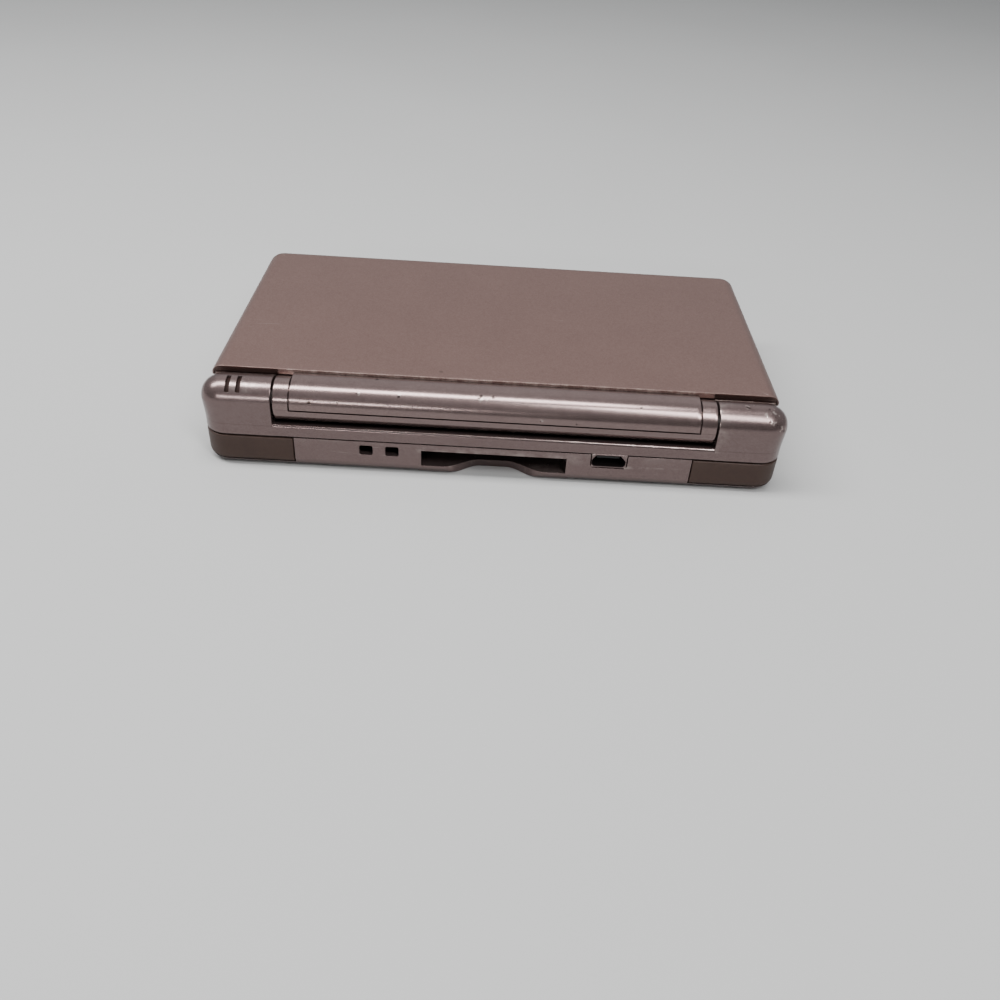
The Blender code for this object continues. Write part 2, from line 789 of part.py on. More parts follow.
def make_trigger(side, label):
    pivot = (side * trigger_pivot[0], trigger_pivot[1])
    low, high = trigger_low + fit_gap, case_top - fit_gap
    origin = (pivot[0], pivot[1], (low + high) / 2)
    trigger = piece(f"{label}_trigger", case_solid(), trigger_look, origin)
    keep(trigger, trigger_space(side, fit_gap, high), "button_space")
    inner = swept(case_outline(trigger_wall), -overshoot, case_top + overshoot)
    cut(trigger, inner, "inside")
    boss = rounded_rectangle(around(pivot[0], trigger_boss_radius),
                             (pivot[1] - trigger_boss_radius, half_depth - trigger_wall / 2),
                             trigger_boss_radius, trigger_boss_radius / 2, edge_steps)
    join(trigger, swept(boss, low + fit_gap, high), "boss")
    cut(trigger, rod(pivot, trigger_pin_radius + fit_gap, -overshoot, case_top), "pin_bore")
    pin = rod(pivot, trigger_pin_radius, case_floor / 2 + fit_gap, case_top + trigger_pin_proud)
    piece(f"{label}_trigger_pin", pin, steel_look)
    make_trigger_spring(side, label)


def make_trigger_spring(side, label):
    x = side * trigger_spring_offset
    rear = trigger_spring_rear
    height = (trigger_low + case_top) / 2
    front = rear - trigger_spring_length
    coil = rod((x, height), trigger_spring_radius, front, rear, "Y")
    spring = piece(f"{label}_trigger_spring", coil, steel_look)
    bore = rod((x, height), trigger_spring_radius / 2, front - overshoot, rear + overshoot, "Y")
    cut(spring, bore, "bore")


# Displays, main board and modules

def make_lower_display():
    top = deck_height - touch_panel_recess
    panel = swept(lower_window(-fit_gap), top - touch_panel_thickness, top)
    piece("touch_panel", panel, glass_look)
    top = deck_floor - seam_gap / 2
    depth = around(lower_window_centre, display_depth / 2 - fit_gap)
    display = box(around(0, display_width / 2), depth, (top - display_thickness, top))
    piece("lower_display", display, black_look)


def make_main_board():
    notch = cartridge_slot_half_width + board_notch_side_gap
    notch_rear = cartridge_cage_rear + board_notch_rear_gap
    outline = [(-board_half_width, board_front), (-notch, board_front), (-notch, notch_rear),
               (notch, notch_rear), (notch, board_front), (board_half_width, board_front),
               (board_half_width, board_rear), (-board_half_width, board_rear)]
    piece("main_board", swept(outline, board_bottom, board_top), board_look)
    x, y = wireless_centre
    top = board_bottom - seam_gap
    module = box(around(x, wireless_width / 2), around(y, wireless_depth / 2),
                 (top - wireless_thickness, top))
    piece("wireless_module", module, steel_look)


# Game card slot with its carriage and spring

def make_card_slot():
    half = card_slot_width / 2
    rear = card_cage_rear
    cage = box(around(card_slot_centre, half + card_cage_wall), (card_cage_front, rear),
               (card_slot_low - card_cage_wall, card_slot_high + card_cage_roof))
    cage = piece("card_slot_cage", cage, steel_look)
    cut(cage, box(around(card_slot_centre, half), (card_cage_front + card_cage_wall, rear + overshoot),
                  (card_slot_low, card_slot_high)), "inside")
    start = card_cage_front + card_cage_wall + fit_gap + carriage_travel + run_gap
    height = (card_slot_low + carriage_clearance, card_slot_high - carriage_clearance)
    place = (card_slot_centre, start, (card_slot_low + card_slot_high) / 2)
    carriage = box(around(card_slot_centre, half - carriage_clearance),
                   (start, start + carriage_depth), height)
    piece("card_carriage", carriage, black_look, place)
    spring_at = (card_slot_centre + half + card_cage_wall + card_spring_gap + card_spring_radius,
                 (card_slot_low + card_slot_high) / 2)
    front = card_cage_front + card_cage_wall
    spring = piece("card_spring", rod(spring_at, card_spring_radius, front, start, "Y"), steel_look)
    cut(spring, rod(spring_at, card_spring_radius / 2, front - overshoot, start + overshoot, "Y"), "bore")


# Cartridge slot with its dust cover

def make_cartridge_slot():
    half = cartridge_slot_half_width
    front = -half_depth + case_wall + fit_gap
    top = board_top - seam_gap
    low = cartridge_slot_low + fit_gap
    cage = box((-half - cartridge_cage_wall, half + cartridge_cage_wall), (front, cartridge_cage_rear),
               (case_floor + fit_gap / 2, top))
    cage = piece("cartridge_slot", cage, black_look)
    cut(cage, box((-half, half), (front - overshoot, cartridge_cage_rear - cartridge_cage_wall),
                  (cartridge_slot_low + cartridge_cage_floor, top - cartridge_cage_wall)), "inside")
    plug_low = cartridge_slot_low + cartridge_cage_floor + fit_gap
    plug_top = top - cartridge_cage_wall - fit_gap
    rear = -half_depth + cover_plug_depth
    plug = box((-half + fit_gap, half - fit_gap), (-half_depth, rear), (plug_low, plug_top))
    plug = piece("slot_cover", plug, shell_look, (0, -half_depth, (low + top) / 2))
    cut(plug, box((-half + fit_gap + cover_plug_wall, half - fit_gap - cover_plug_wall),
                  (-half_depth + cover_plug_wall, rear + overshoot),
                  (plug_low + cover_plug_wall, plug_top - cover_plug_wall)), "inside")


# Charge socket and headphone jack

def make_sockets():
    half = charge_socket_width / 2 - fit_gap
    rear = half_depth - fit_gap
    low, high = charge_socket_low + fit_gap, case_top - fit_gap / 2
    socket = box(around(charge_socket_centre, half), (rear - charge_socket_depth, rear), (low, high))
    socket = piece("charge_socket", socket, black_look)
    middle = (low + high) / 2
    cut(socket, box(around(charge_socket_centre, charge_mouth_width / 2),
                    (rear - charge_mouth_depth, rear + overshoot),
                    around(middle, charge_mouth_height / 2)), "mouth")
    tongue = charge_mouth_width / 2 - charge_mouth_height / 2
    join(socket, box(around(charge_socket_centre, tongue),
                     (rear - charge_mouth_depth - fit_gap, rear - charge_mouth_height),
                     around(middle, charge_tongue_height / 2)), "tongue")
    centre = (jack_centre, jack_height)
    front = -half_depth + case_wall + fit_gap
    body = box(around(jack_centre, jack_width / 2), (front, front + jack_length),
               (case_floor + jack_body_floor_gap, board_bottom - jack_body_top_gap))
    jack = piece("headphone_jack", body, black_look)
    join(jack, rod(centre, jack_collar_radius, -half_depth + fit_gap, front + fit_gap, "Y"), "collar")
    cut(jack, rod(centre, jack_radius, -half_depth - overshoot, front + jack_length / 2, "Y"), "bore")


# Direction pad: the cross tilts on a rocker, and the rocker tilts across it

def make_direction_pad():
    x, y = pad_cross_centre
    top = deck_height + cross_proud
    pivot = (x, y, rocker_low + rocker_height)
    bm = swept(cross_outline(), skirt_top - fit_gap, top)
    bm = rounded(bm, lambda co: near(co.z, top), cross_round, soft_edge_steps)
    cross = piece("direction_pad", bm, button_look, pivot)
    skirt = rod((x, y), cross_skirt_radius, skirt_top - skirt_thickness, skirt_top, steps=round_steps)
    join(cross, skirt, "skirt")
    dome = arc((0, 0), 1, 0, up_angle, edge_steps)[:-1] + [(0, 1)]
    profile = [(0, rocker_low)]
    profile += [(rocker_radius * across, rocker_low + rocker_height * up) for across, up in dome]
    piece("pad_rocker", shifted(turned(profile), x, y), black_look, pivot)
    mat(x, y, cross_half_span, "pad_mat")


def mat(x, y, reach, name):
    disc = rod((x, y), reach + mat_margin, mat_low, mat_low + mat_thickness, steps=round_steps)
    piece(name, disc, mat_look)


def button(name, place, radius, proud, look):
    """A round button with a flange that stays under the deck."""
    top = deck_height + proud
    profile = [(0, flange_low), (radius + face_flange, flange_low), (radius + face_flange, flange_top),
               (radius, flange_top), (radius, top - button_crown / 2), (radius - button_crown, top),
               (0, top)]
    piece(name, shifted(turned(profile, round_steps), *place), look, (place[0], place[1], deck_height))


def make_buttons():
    for name, place in face_places().items():
        button(name, place, face_radius, face_proud, button_look)
    mat(face_centre[0], face_centre[1], face_spacing + face_radius, "face_button_mat")
    for name, place in zip(("start_button", "select_button"), menu_places):
        button(name, place, menu_radius, menu_proud, button_look)
    middle = [sum(values) / len(menu_places) for values in zip(*menu_places)]
    reach = menu_radius + mat_margin
    menu_y = (menu_places[1][1] - reach, menu_places[0][1] + reach)
    strip = box(around(middle[0], reach), menu_y, (mat_low, mat_low + mat_thickness))
    piece("menu_button_mat", strip, mat_look)


# Power and volume sliders with their switches

def make_sliders():
    z = around(slider_centre_height, power_slider_height / 2)
    foot_z = around(slider_centre_height, slider_foot_height / 2)
    inner = half_width - case_wall - seam_gap
    y = power_slider_y
    knob = box((inner - fit_gap, half_width - slider_recess), around(y, power_slider_length / 2), z)
    power = piece("power_slider", knob, button_look, (inner, y, slider_centre_height))
    foot = box((inner - slider_foot_thickness, inner), around(y, slider_foot_length / 2), foot_z)
    join(power, foot, "foot")
    back = inner - slider_foot_thickness - seam_gap
    switch_z = around(slider_centre_height, switch_height / 2)
    middle = y + power_travel / 2
    switch = box((back - switch_depth, back), around(middle, switch_length / 2), switch_z)
    piece("power_switch", switch, steel_look)
    inner = -half_depth + case_wall + seam_gap
    x = volume_slider_x
    knob = box(around(x, volume_slider_length / 2), (-half_depth + slider_recess, inner + fit_gap), z)
    volume = piece("volume_slider", knob, button_look, (x, inner, slider_centre_height))
    foot_x = around(x, volume_slider_length / 2 + slider_foot_overhang)
    join(volume, box(foot_x, (inner, inner + slider_foot_thickness), foot_z), "foot")
    back = inner + slider_foot_thickness + seam_gap
    middle = x + volume_travel / 2
    switch = box(around(middle, switch_length / 2), (back, back + switch_depth), switch_z)
    piece("volume_switch", switch, steel_look)


# Stylus

def stylus_start():
    return half_width - stylus_end_recess - stylus_length


def make_stylus():
    start = stylus_start() + stylus_tip_length
    end = half_width - stylus_end_recess
    height = stylus_low + stylus_height / 2
    body = swept(stylus_outline(), start, end, "X")
    stylus = piece("stylus", body, black_look, (end, stylus_y, height))
    tip = bmesh.new()
    bmesh.ops.create_cone(tip, cap_ends=True, segments=small_round_steps, radius1=stylus_tip_radius,
                          radius2=stylus_height / 2 - fit_gap, depth=stylus_tip_length + fit_gap)
    for vert in tip.verts:
        vert.co = (vert.co.z, vert.co.y, -vert.co.x)
    join(stylus, shifted(tip, start - (stylus_tip_length - fit_gap) / 2, stylus_y, height), "tip")


# Lid: outer shell, inner shell with the barrel, and the barrel cover

def cove_cutter(x):
    """What the ear sweeps: a flat as far as the lid opens, then round the hinge axis."""
    centre = (hinge_y, hinge_height)
    round_part = arc(centre, cove_radius, lid_open_angle, half_turn + up_angle, ear_steps)
    rise = body_height - hinge_height + overshoot
    far = hinge_y + half_depth
    low = hinge_height - cove_radius
    top = hinge_height + rise
    profile = [(lid_rear_at(rise), top)] + round_part + [(far, low), (far, top)]
    return swept(profile, x[0], x[1], "X")


def make_lid_outer_shell():
    low = lid_seam_height + seam_gap / 2
    wide = (-lid_half_width, lid_half_width)
    long_outline = rounded_rectangle(wide, (-half_depth, half_depth + case_corner_radius),
                                     lid_corner_radius, lid_corner_radius)
    bm = swept(long_outline, low, body_height)
    bm = rounded(bm, lambda co: near(co.z, body_height), lid_top_round, lid_round_steps)
    shell = piece("lid_outer_shell", bm, shell_look, axis_point, lid_hinge)
    kept = rounded_rectangle(around(0, lid_half_width + overshoot),
                             (-half_depth - overshoot, lid_rear_at(body_height - hinge_height)),
                             lid_corner_radius, lid_rear_corner_radius + overshoot)
    keep(shell, swept(kept, low - overshoot, body_height + overshoot), "rear_line")
    inside = rounded_rectangle((-lid_half_width + lid_wall, lid_half_width - lid_wall),
                               (-half_depth + lid_wall, hinge_y - cove_radius - lid_wall),
                               lid_corner_radius - lid_wall, lid_wall)
    cut(shell, swept(inside, low - overshoot, body_height - lid_wall), "inside")
    reach = half_width + overshoot
    cut(shell, cove_cutter((-reach, reach)), "cove")


def make_lid_inner_shell():
    high = lid_seam_height - seam_gap / 2
    low = lid_floor_height
    rim = lid_rim_height
    wide = (-lid_half_width + lid_front_inset, lid_half_width - lid_front_inset)
    depth = (-half_depth + lid_front_inset, hinge_y)
    outline = rounded_rectangle(wide, depth, lid_corner_radius, lid_front_inset)
    bm = rounded(swept(outline, rim, high),
                 lambda co: near(co.z, rim) and co.y < hinge_y - overshoot,
                 lid_floor_round, soft_edge_steps)
    shell = piece("lid_inner_shell", bm, shell_look, axis_point, lid_hinge)
    inside = rounded_rectangle((wide[0] + lid_wall, wide[1] - lid_wall),
                               (depth[0] + lid_wall, hinge_y - cove_radius - lid_wall),
                               lid_corner_radius - lid_wall, lid_wall)
    cut(shell, swept(inside, low + lid_wall, high + overshoot), "inside")
    pocket = rounded_rectangle((wide[0] + lid_rim_width, wide[1] - lid_rim_width),
                               (depth[0] + lid_rim_width, lid_room_rear - lid_neck_rim + lid_wall),
                               lid_corner_radius - lid_rim_width, lid_rim_width)
    cut(shell, swept(pocket, rim - overshoot, low), "pocket")
    reach = half_width + overshoot
    cut(shell, cove_cutter((-reach, reach)), "cove")
    end = barrel_half_length - run_gap / 2
    centre = (hinge_y, hinge_height)
    neck = (hinge_y - cove_radius - lid_wall - fit_gap, hinge_y - barrel_radius / 2)
    join(shell, box((-end, end), neck, (rim, high)), "neck")
    join(shell, rod(centre, barrel_radius, -end, end, "X", barrel_steps), "barrel")
    open_end = cover_half_length + fit_gap
    cut(shell, rod(centre, barrel_bore_radius, -open_end, open_end, "X", round_steps), "barrel_bore")
    above = (hinge_height - fit_gap, body_height)
    cut(shell, box((-open_end, open_end), (hinge_y, half_depth + overshoot), above), "cover_space_rear")
    cut(shell, box((-open_end, open_end), (hinge_y - barrel_radius - overshoot, hinge_y + fit_gap),
                   (high, body_height)), "cover_space_front")
    cut(shell, rod(centre, bore_radius, -end - overshoot, end + overshoot, "X"), "pin_bore")
    cut(shell, box(around(cable_offset, cable_slot_half_width),
                   (hinge_y - cove_radius - lid_wall - overshoot, hinge_y),
                   (hinge_height - barrel_radius / 2, high + overshoot)), "cable_slot")
    window = rounded_rectangle(around(0, window_width / 2), around(upper_window_centre, window_depth / 2),
                               window_corner_radius, window_corner_radius, soft_edge_steps)
    through = (low - overshoot, low + lid_wall + overshoot / 2)
    cut(shell, swept(window, *through), "display_window")
    for side, label in ((-1, "left"), (1, "right")):
        for number, place in enumerate(speaker_holes(side)):
            cut(shell, rod(place, speaker_hole_radius, *through, steps=fine_hole_steps),
                f"{label}_speaker_hole_{number}")
        recess = rod((side * pad_offset, pad_front), pad_radius + fit_gap / 2,
                     low - overshoot, low + pad_recess)
        cut(shell, recess, f"{label}_pad_recess")
    direction = Vector((0, math.cos(mic_hole_angle), math.sin(mic_hole_angle)))
    hole = rod((0, 0), mic_hole_radius, 0, barrel_radius + overshoot, steps=fine_hole_steps)
    turn = Vector((0, 0, 1)).rotation_difference(direction).to_matrix()
    bmesh.ops.rotate(hole, cent=(0, 0, 0), matrix=turn, verts=hole.verts)
    cut(shell, shifted(hole, *axis_point), "mic_hole")


def speaker_holes(side):
    """Places of the speaker holes on one side of the upper display, row by row."""
    places = []
    for row in range(speaker_hole_rows):
        for column in range(speaker_hole_columns):
            x = side * speaker_offset + (column - (speaker_hole_columns - 1) / 2) * speaker_hole_pitch
            y = upper_window_centre + (row - (speaker_hole_rows - 1) / 2) * speaker_hole_pitch
            places.append((x, y))
    return places


def cover_radius(turn):
    """The cover follows the barrel and swells towards its front lip."""
    share = max(0, (turn - cover_swell_angle) / (cover_lip_angle - cover_swell_angle))
    return barrel_radius + cover_lip_swell * share * share


def make_barrel_cover():
    turns = [cover_lip_angle * i / cover_steps for i in range(cover_steps + 1)]
    outer = [(hinge_y + cover_radius(t) * math.cos(t),
              hinge_height + cover_radius(t) * math.sin(t)) for t in turns]
    inner_radius = barrel_radius - cover_thickness
    inner = arc((hinge_y, hinge_height), inner_radius, cover_lip_angle, 0, cover_steps)
    bm = swept(outer + inner, -cover_half_length, cover_half_length, "X")
    piece("barrel_cover", bm, barrel_look, axis_point, lid_hinge)


# What the lid and the barrel hold

def make_lid_contents():
    low = lid_floor_height
    window = rounded_rectangle(around(0, window_width / 2 - fit_gap),
                               around(upper_window_centre, window_depth / 2 - fit_gap),
                               window_corner_radius, window_corner_radius, soft_edge_steps)
    glass = swept(window, low + touch_panel_recess, low + lid_wall)
    piece("upper_window", glass, glass_look, axis_point, lid_hinge)
    floor = low + lid_wall + seam_gap
    display = box(around(0, display_width / 2), around(upper_window_centre, display_depth / 2),
                  (floor, floor + upper_display_thickness))
    piece("upper_display", display, black_look, axis_point, lid_hinge)
    for side, label in ((-1, "left"), (1, "right")):
        x = side * speaker_offset
        body = box(around(x, speaker_width / 2), around(upper_window_centre, speaker_depth / 2),
                   (floor, floor + speaker_thickness))
        body = rounded(body, lambda co: True, speaker_edge, chamfer_steps)
        piece(f"{label}_speaker", body, black_look, axis_point, lid_hinge)
        pad_top = low + pad_recess - fit_gap / 2
        pad = rod((side * pad_offset, pad_front), pad_radius, pad_top - pad_thickness, pad_top)
        piece(f"{label}_lid_pad", pad, rubber_look, axis_point, lid_hinge)
        screw(f"{label}_lid_screw", side * lid_screw_offset, pad_front, floor,
              floor + lid_screw_length, lid_screw_head_radius, lid_hinge)
    strip = box(around(0, antenna_width / 2), around(antenna_centre, antenna_depth / 2 - fit_gap),
                (floor, floor + antenna_thickness))
    piece("antenna", strip, cable_look, axis_point, lid_hinge)


def make_barrel_contents():
    centre = (hinge_y, hinge_height)
    end = cover_half_length
    body = rod(centre, clutch_radius, -end, -end + clutch_length, "X", round_steps)
    clutch = piece("hinge_clutch", body, steel_look, axis_point, lid_hinge)
    shaft = rod(centre, pin_radius, -barrel_half_length - pin_reach_in_ear, -end + fit_gap, "X")
    join(clutch, shaft, "shaft")
    pin = rod(centre, pin_radius, barrel_half_length - pin_reach_in_barrel,
              barrel_half_length + pin_reach_in_ear, "X")
    piece("hinge_pin", pin, steel_look)
    start, stop = cable_open_angle, full_turn
    band = arc(centre, cable_radius, start, stop, round_steps)
    band += arc(centre, cable_radius - cable_thickness, stop, start, round_steps)
    x = around(cable_offset, cable_length / 2)
    piece("display_cable", swept(band, x[0], x[1], "X"), cable_look, axis_point, lid_hinge)
    seat = hinge_height - barrel_bore_radius + mic_thickness / 2
    capsule = rod((0, hinge_y), mic_radius, seat, seat + mic_thickness)
    piece("microphone", capsule, steel_look, axis_point, lid_hinge)


make_bottom_case()
make_battery_and_cover()
make_base_cover()
make_lights()
make_trigger(-1, "left")
make_trigger(1, "right")
make_lower_display()
make_main_board()
make_card_slot()
make_cartridge_slot()
make_sockets()
make_direction_pad()
make_buttons()
make_sliders()
make_stylus()
make_lid_outer_shell()
make_lid_inner_shell()
make_barrel_cover()
make_lid_contents()
make_barrel_contents()
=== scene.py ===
import math

import bpy
import numpy as np
from mathutils import Matrix, Vector


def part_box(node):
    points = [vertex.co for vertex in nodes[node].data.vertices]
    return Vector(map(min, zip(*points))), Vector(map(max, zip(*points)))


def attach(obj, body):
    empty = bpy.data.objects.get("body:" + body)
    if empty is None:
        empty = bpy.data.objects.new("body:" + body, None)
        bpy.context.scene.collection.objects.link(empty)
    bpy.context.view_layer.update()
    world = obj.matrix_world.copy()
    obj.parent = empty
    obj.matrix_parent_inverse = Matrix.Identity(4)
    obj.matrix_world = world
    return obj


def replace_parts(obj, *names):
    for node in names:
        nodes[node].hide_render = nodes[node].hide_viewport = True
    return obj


# Closed clamshell console in worn rose metal paint. Lengths in the dictionaries are millimetres.
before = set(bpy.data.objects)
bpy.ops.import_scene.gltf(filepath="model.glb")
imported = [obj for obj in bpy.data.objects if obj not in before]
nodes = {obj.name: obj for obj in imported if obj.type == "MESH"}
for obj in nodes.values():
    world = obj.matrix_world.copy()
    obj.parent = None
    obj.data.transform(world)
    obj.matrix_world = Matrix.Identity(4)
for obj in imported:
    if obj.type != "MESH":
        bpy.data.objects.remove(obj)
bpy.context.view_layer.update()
print("frame loaded:", len(nodes), "nodes")


def nodeSpan(name):
    # lowest and highest corner of a CAD node, in millimetres
    low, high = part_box(name)
    return np.array(low) * 1000, np.array(high) * 1000


def nodeCentre(name):
    low, high = nodeSpan(name)
    return (low + high) / 2


hinge = dict(zip("yz", nodeCentre("hinge_pin")[1:]))
hinge["barrelRadius"] = nodeSpan("barrel_cover")[1][1] - hinge["y"]
hinge["coveRadius"] = hinge["barrelRadius"] + 0.35
hinge["lidSlope"] = math.radians(25)
hinge["barrelEnd"] = 49.825
seams = {"caseTop": 8.175, "coverLow": 8.425, "rimLow": 11.7, "frameTop": 16.775, "lidHalf": 64.8}


def sections(left, right, front, rear, frontRadius, rearRadius, height, cornerSteps=12):
    # Rounded rectangles stacked up: each value is a number or an array with one entry per ring.
    # A point is its corner's centre plus radius times (cos, sin) of an angle that runs once round.
    values = np.broadcast_arrays(*[np.atleast_1d(np.asarray(v, float)) for v in
                                   (left, right, front, rear, frontRadius, rearRadius, height)])
    left, right, front, rear, frontRadius, rearRadius, height = [v[:, None] for v in values]
    quarter = np.linspace(0, np.pi / 2, cornerSteps + 1)
    angle = np.concatenate([quarter + k * np.pi / 2 for k in range(4)])
    signX = np.repeat([1, -1, -1, 1], cornerSteps + 1)
    signY = np.repeat([1, 1, -1, -1], cornerSteps + 1)
    radius = np.where(signY > 0, rearRadius, frontRadius)
    x = np.where(signX > 0, right, left) - signX * radius + radius * np.cos(angle)
    y = np.where(signY > 0, rear, front) - signY * radius + radius * np.sin(angle)
    return np.stack([x, y, np.broadcast_to(height, x.shape)], axis=2)


def alongX(profile, stations):
    # the same closed (y, z) profile at each x station
    rings = np.empty((len(stations), len(profile), 3))
    rings[:, :, 0] = np.asarray(stations, float)[:, None]
    rings[:, :, 1:] = np.asarray(profile, float)[None]
    return rings


def alongY(profile, stations):
    # the same closed (z, x) profile at each y station
    rings = np.empty((len(stations), len(profile), 3))
    rings[:, :, 1] = np.asarray(stations, float)[:, None]
    rings[:, :, 2] = np.asarray(profile, float)[None, :, 0]
    rings[:, :, 0] = np.asarray(profile, float)[None, :, 1]
    return rings


def lathe(x, y, radii, heights, count=48):
    # radii and heights of a profile turned round the upright line through (x, y)
    turn = np.arange(count) * 2 * np.pi / count
    radii, heights = np.asarray(radii, float)[:, None], np.asarray(heights, float)[:, None]
    return np.stack([x + radii * np.cos(turn), y + radii * np.sin(turn),
                     np.broadcast_to(heights, (len(radii), count))], axis=2)


def latheY(x, z, radii, depths, count=48):
    # a profile turned round the line along y through (x, z), from the lowest y to the highest
    turn = np.arange(count) * 2 * np.pi / count
    radii, depths = np.asarray(radii, float)[:, None], np.asarray(depths, float)[:, None]
    return np.stack([x + radii * np.sin(turn), np.broadcast_to(depths, (len(radii), count)),
                     z + radii * np.cos(turn)], axis=2)


def solid(name, rings, closed=False, innerRings=None):
    # Quads join each ring to the next; the end rings are capped, or the last joins the first.
    ringCount, pointCount = rings.shape[:2]
    bands = ringCount if closed else ringCount - 1
    i, j = np.meshgrid(np.arange(bands), np.arange(pointCount), indexing="ij")
    here, over, across = i * pointCount, (i + 1) % ringCount * pointCount, (j + 1) % pointCount
    quads = np.stack([here + j, here + across, over + across, over + j], 2)
    faces = quads.reshape(-1, 4).tolist()
    if not closed:
        faces.append(list(range(pointCount))[::-1])
        faces.append(list(range((ringCount - 1) * pointCount, ringCount * pointCount)))
    # a negative volume, summed over the faces as fans of triangles, means that they point inwards
    corners = rings.reshape(-1, 3)
    around = corners[quads.reshape(-1, 4)]
    triangles = [around[:, [0, 1, 2]], around[:, [0, 2, 3]]]
    for face in faces[i.size:]:
        fan = corners[face]
        triangles.append(np.stack([np.repeat(fan[:1], len(fan) - 2, axis=0), fan[1:-1], fan[2:]], 1))
    triangles = np.concatenate(triangles)
    if np.einsum("ij,ij->", triangles[:, 0], np.cross(triangles[:, 1], triangles[:, 2])) < 0:
        faces = [face[::-1] for face in faces]
    mesh = bpy.data.meshes.new(name)
    mesh.from_pydata((corners / 1000).tolist(), [], faces)
    if innerRings:
        # faces between these rings take the piece's second material
        inside = np.zeros(len(faces), np.int32)
        inside[:i.size] = (i.ravel() >= innerRings[0]) & (i.ravel() < innerRings[1])
        if innerRings[1] >= ringCount and not closed:
            inside[-1] = 1
        mesh.polygons.foreach_set("material_index", inside)
    made = bpy.data.objects.new(name, mesh)
    bpy.context.scene.collection.objects.link(made)
    return made


def block(name, x, y, z):
    rings = sections(x[0], x[1], y[0], y[1], 0, 0, np.array(z, float), 0)
    return solid(name, rings)


def aboutHinge(radius, turn):
    # points (y, z) at these angles on a circle about the hinge axis
    return np.stack([hinge["y"] + radius * np.cos(turn), hinge["z"] + radius * np.sin(turn)], -1)


def hingeBand(outer, inner, turn):
    # the outline of a band between two radii about the hinge axis
    return np.concatenate([aboutHinge(outer, turn), aboutHinge(inner, turn[::-1])])


def keepResult(piece):
    # the piece's modifiers become its mesh
    graph = bpy.context.evaluated_depsgraph_get()
    made = bpy.data.meshes.new_from_object(piece.evaluated_get(graph))
    piece.modifiers.clear()
    old, piece.data = piece.data, made
    bpy.data.meshes.remove(old)
    made.name = piece.name


def carve(piece, tools, operation="DIFFERENCE"):
    for tool in tools:
        step = piece.modifiers.new("step", "BOOLEAN")
        step.operation, step.solver, step.object = operation, "EXACT", tool
    keepResult(piece)
    for tool in tools:
        mesh = tool.data
        bpy.data.objects.remove(tool)
        bpy.data.meshes.remove(mesh)


def dress(piece, body, materials, replaced=(), softEdge=0, sharpAngle=32):
    # materials, smooth shading with crisp edges, and the CAD body that carries the piece
    for material in materials:
        piece.data.materials.append(material)
    piece.data.shade_smooth()
    piece.data.set_sharp_from_angle(angle=math.radians(sharpAngle))
    if softEdge:
        bevel = piece.modifiers.new("softEdge", "BEVEL")
        bevel.limit_method, bevel.angle_limit = "ANGLE", math.radians(40)
        bevel.width, bevel.segments = softEdge / 1000, 2
        bevel.use_clamp_overlap = True
    even = piece.modifiers.new("evenShading", "WEIGHTED_NORMAL")
    even.keep_sharp = True
    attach(piece, body)
    if replaced:
        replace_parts(piece, *replaced)
    return piece


def roundOff(radius, steps):
    # quarter round: how far in and how far up, from upright wall to flat top
    turn = np.linspace(0, np.pi / 2, steps + 1)
    return radius * (1 - np.cos(turn)), radius * np.sin(turn)


def put(tree, kind, inputs=None, **options):
    node = tree.nodes.new(kind)
    for key, value in options.items():
        setattr(node, key, value)
    for key, value in (inputs or {}).items():
        if isinstance(value, bpy.types.NodeSocket):
            tree.links.new(value, node.inputs[key])
        else:
            node.inputs[key].default_value = value
    return node


def startGroup(name, inputs, outputs):
    tree = bpy.data.node_groups.new(name, "ShaderNodeTree")
    for label, value in inputs.items():
        tree.interface.new_socket(label, in_out="INPUT", socket_type="NodeSocketFloat").default_value = value
    for label in outputs:
        tree.interface.new_socket(label, in_out="OUTPUT", socket_type="NodeSocketFloat")
    return tree, put(tree, "NodeGroupInput").outputs, put(tree, "NodeGroupOutput").inputs


def spread(tree, value, low, high, toLow=0.0, toHigh=1.0):
    return put(tree, "ShaderNodeMapRange", {"Value": value, "From Min": low, "From Max": high,
                                            "To Min": toLow, "To Max": toHigh}, clamp=True).outputs["Result"]


def times(tree, a, b):
    return put(tree, "ShaderNodeMath", {0: a, 1: b}, operation="MULTIPLY").outputs[0]


def plus(tree, a, b):
    return put(tree, "ShaderNodeMath", {0: a, 1: b}, operation="ADD", use_clamp=True).outputs[0]


def minus(tree, a, b):
    return put(tree, "ShaderNodeMath", {0: a, 1: b}, operation="SUBTRACT").outputs[0]


def below(tree, value, limit):
    return put(tree, "ShaderNodeMath", {0: value, 1: limit}, operation="LESS_THAN").outputs[0]


def objectPlace(tree):
    return put(tree, "ShaderNodeTexCoord").outputs["Object"]


def noise(tree, where, scale, detail, **more):
    # random values from 0 to 1 that change smoothly from place to place
    values = {"Vector": where, "Scale": scale, "Detail": detail, **more}
    return put(tree, "ShaderNodeTexNoise", values).outputs["Fac"]


def part(tree, value, number):
    # one channel of a colour
    return put(tree, "ShaderNodeSeparateColor", {"Color": value}).outputs[number]


def makeGrain():
    # two noises, a fine one and one ten times coarser, added for colour and height
    tree, given, out = startGroup("paintGrain", {"Scale": 900, "Coarse Share": 0.5}, ["Shade", "Height"])
    where = objectPlace(tree)
    fine = noise(tree, where, given["Scale"], 3.0)
    coarse = noise(tree, where, times(tree, given["Scale"], 0.1), 5.0)
    values = {"Factor": given["Coarse Share"], "A": fine, "B": coarse}
    mixed = put(tree, "ShaderNodeMix", values, data_type="FLOAT").outputs[0]
    tree.links.new(spread(tree, mixed, 0.3, 0.7), out["Shade"])
    tree.links.new(fine, out["Height"])
    return tree


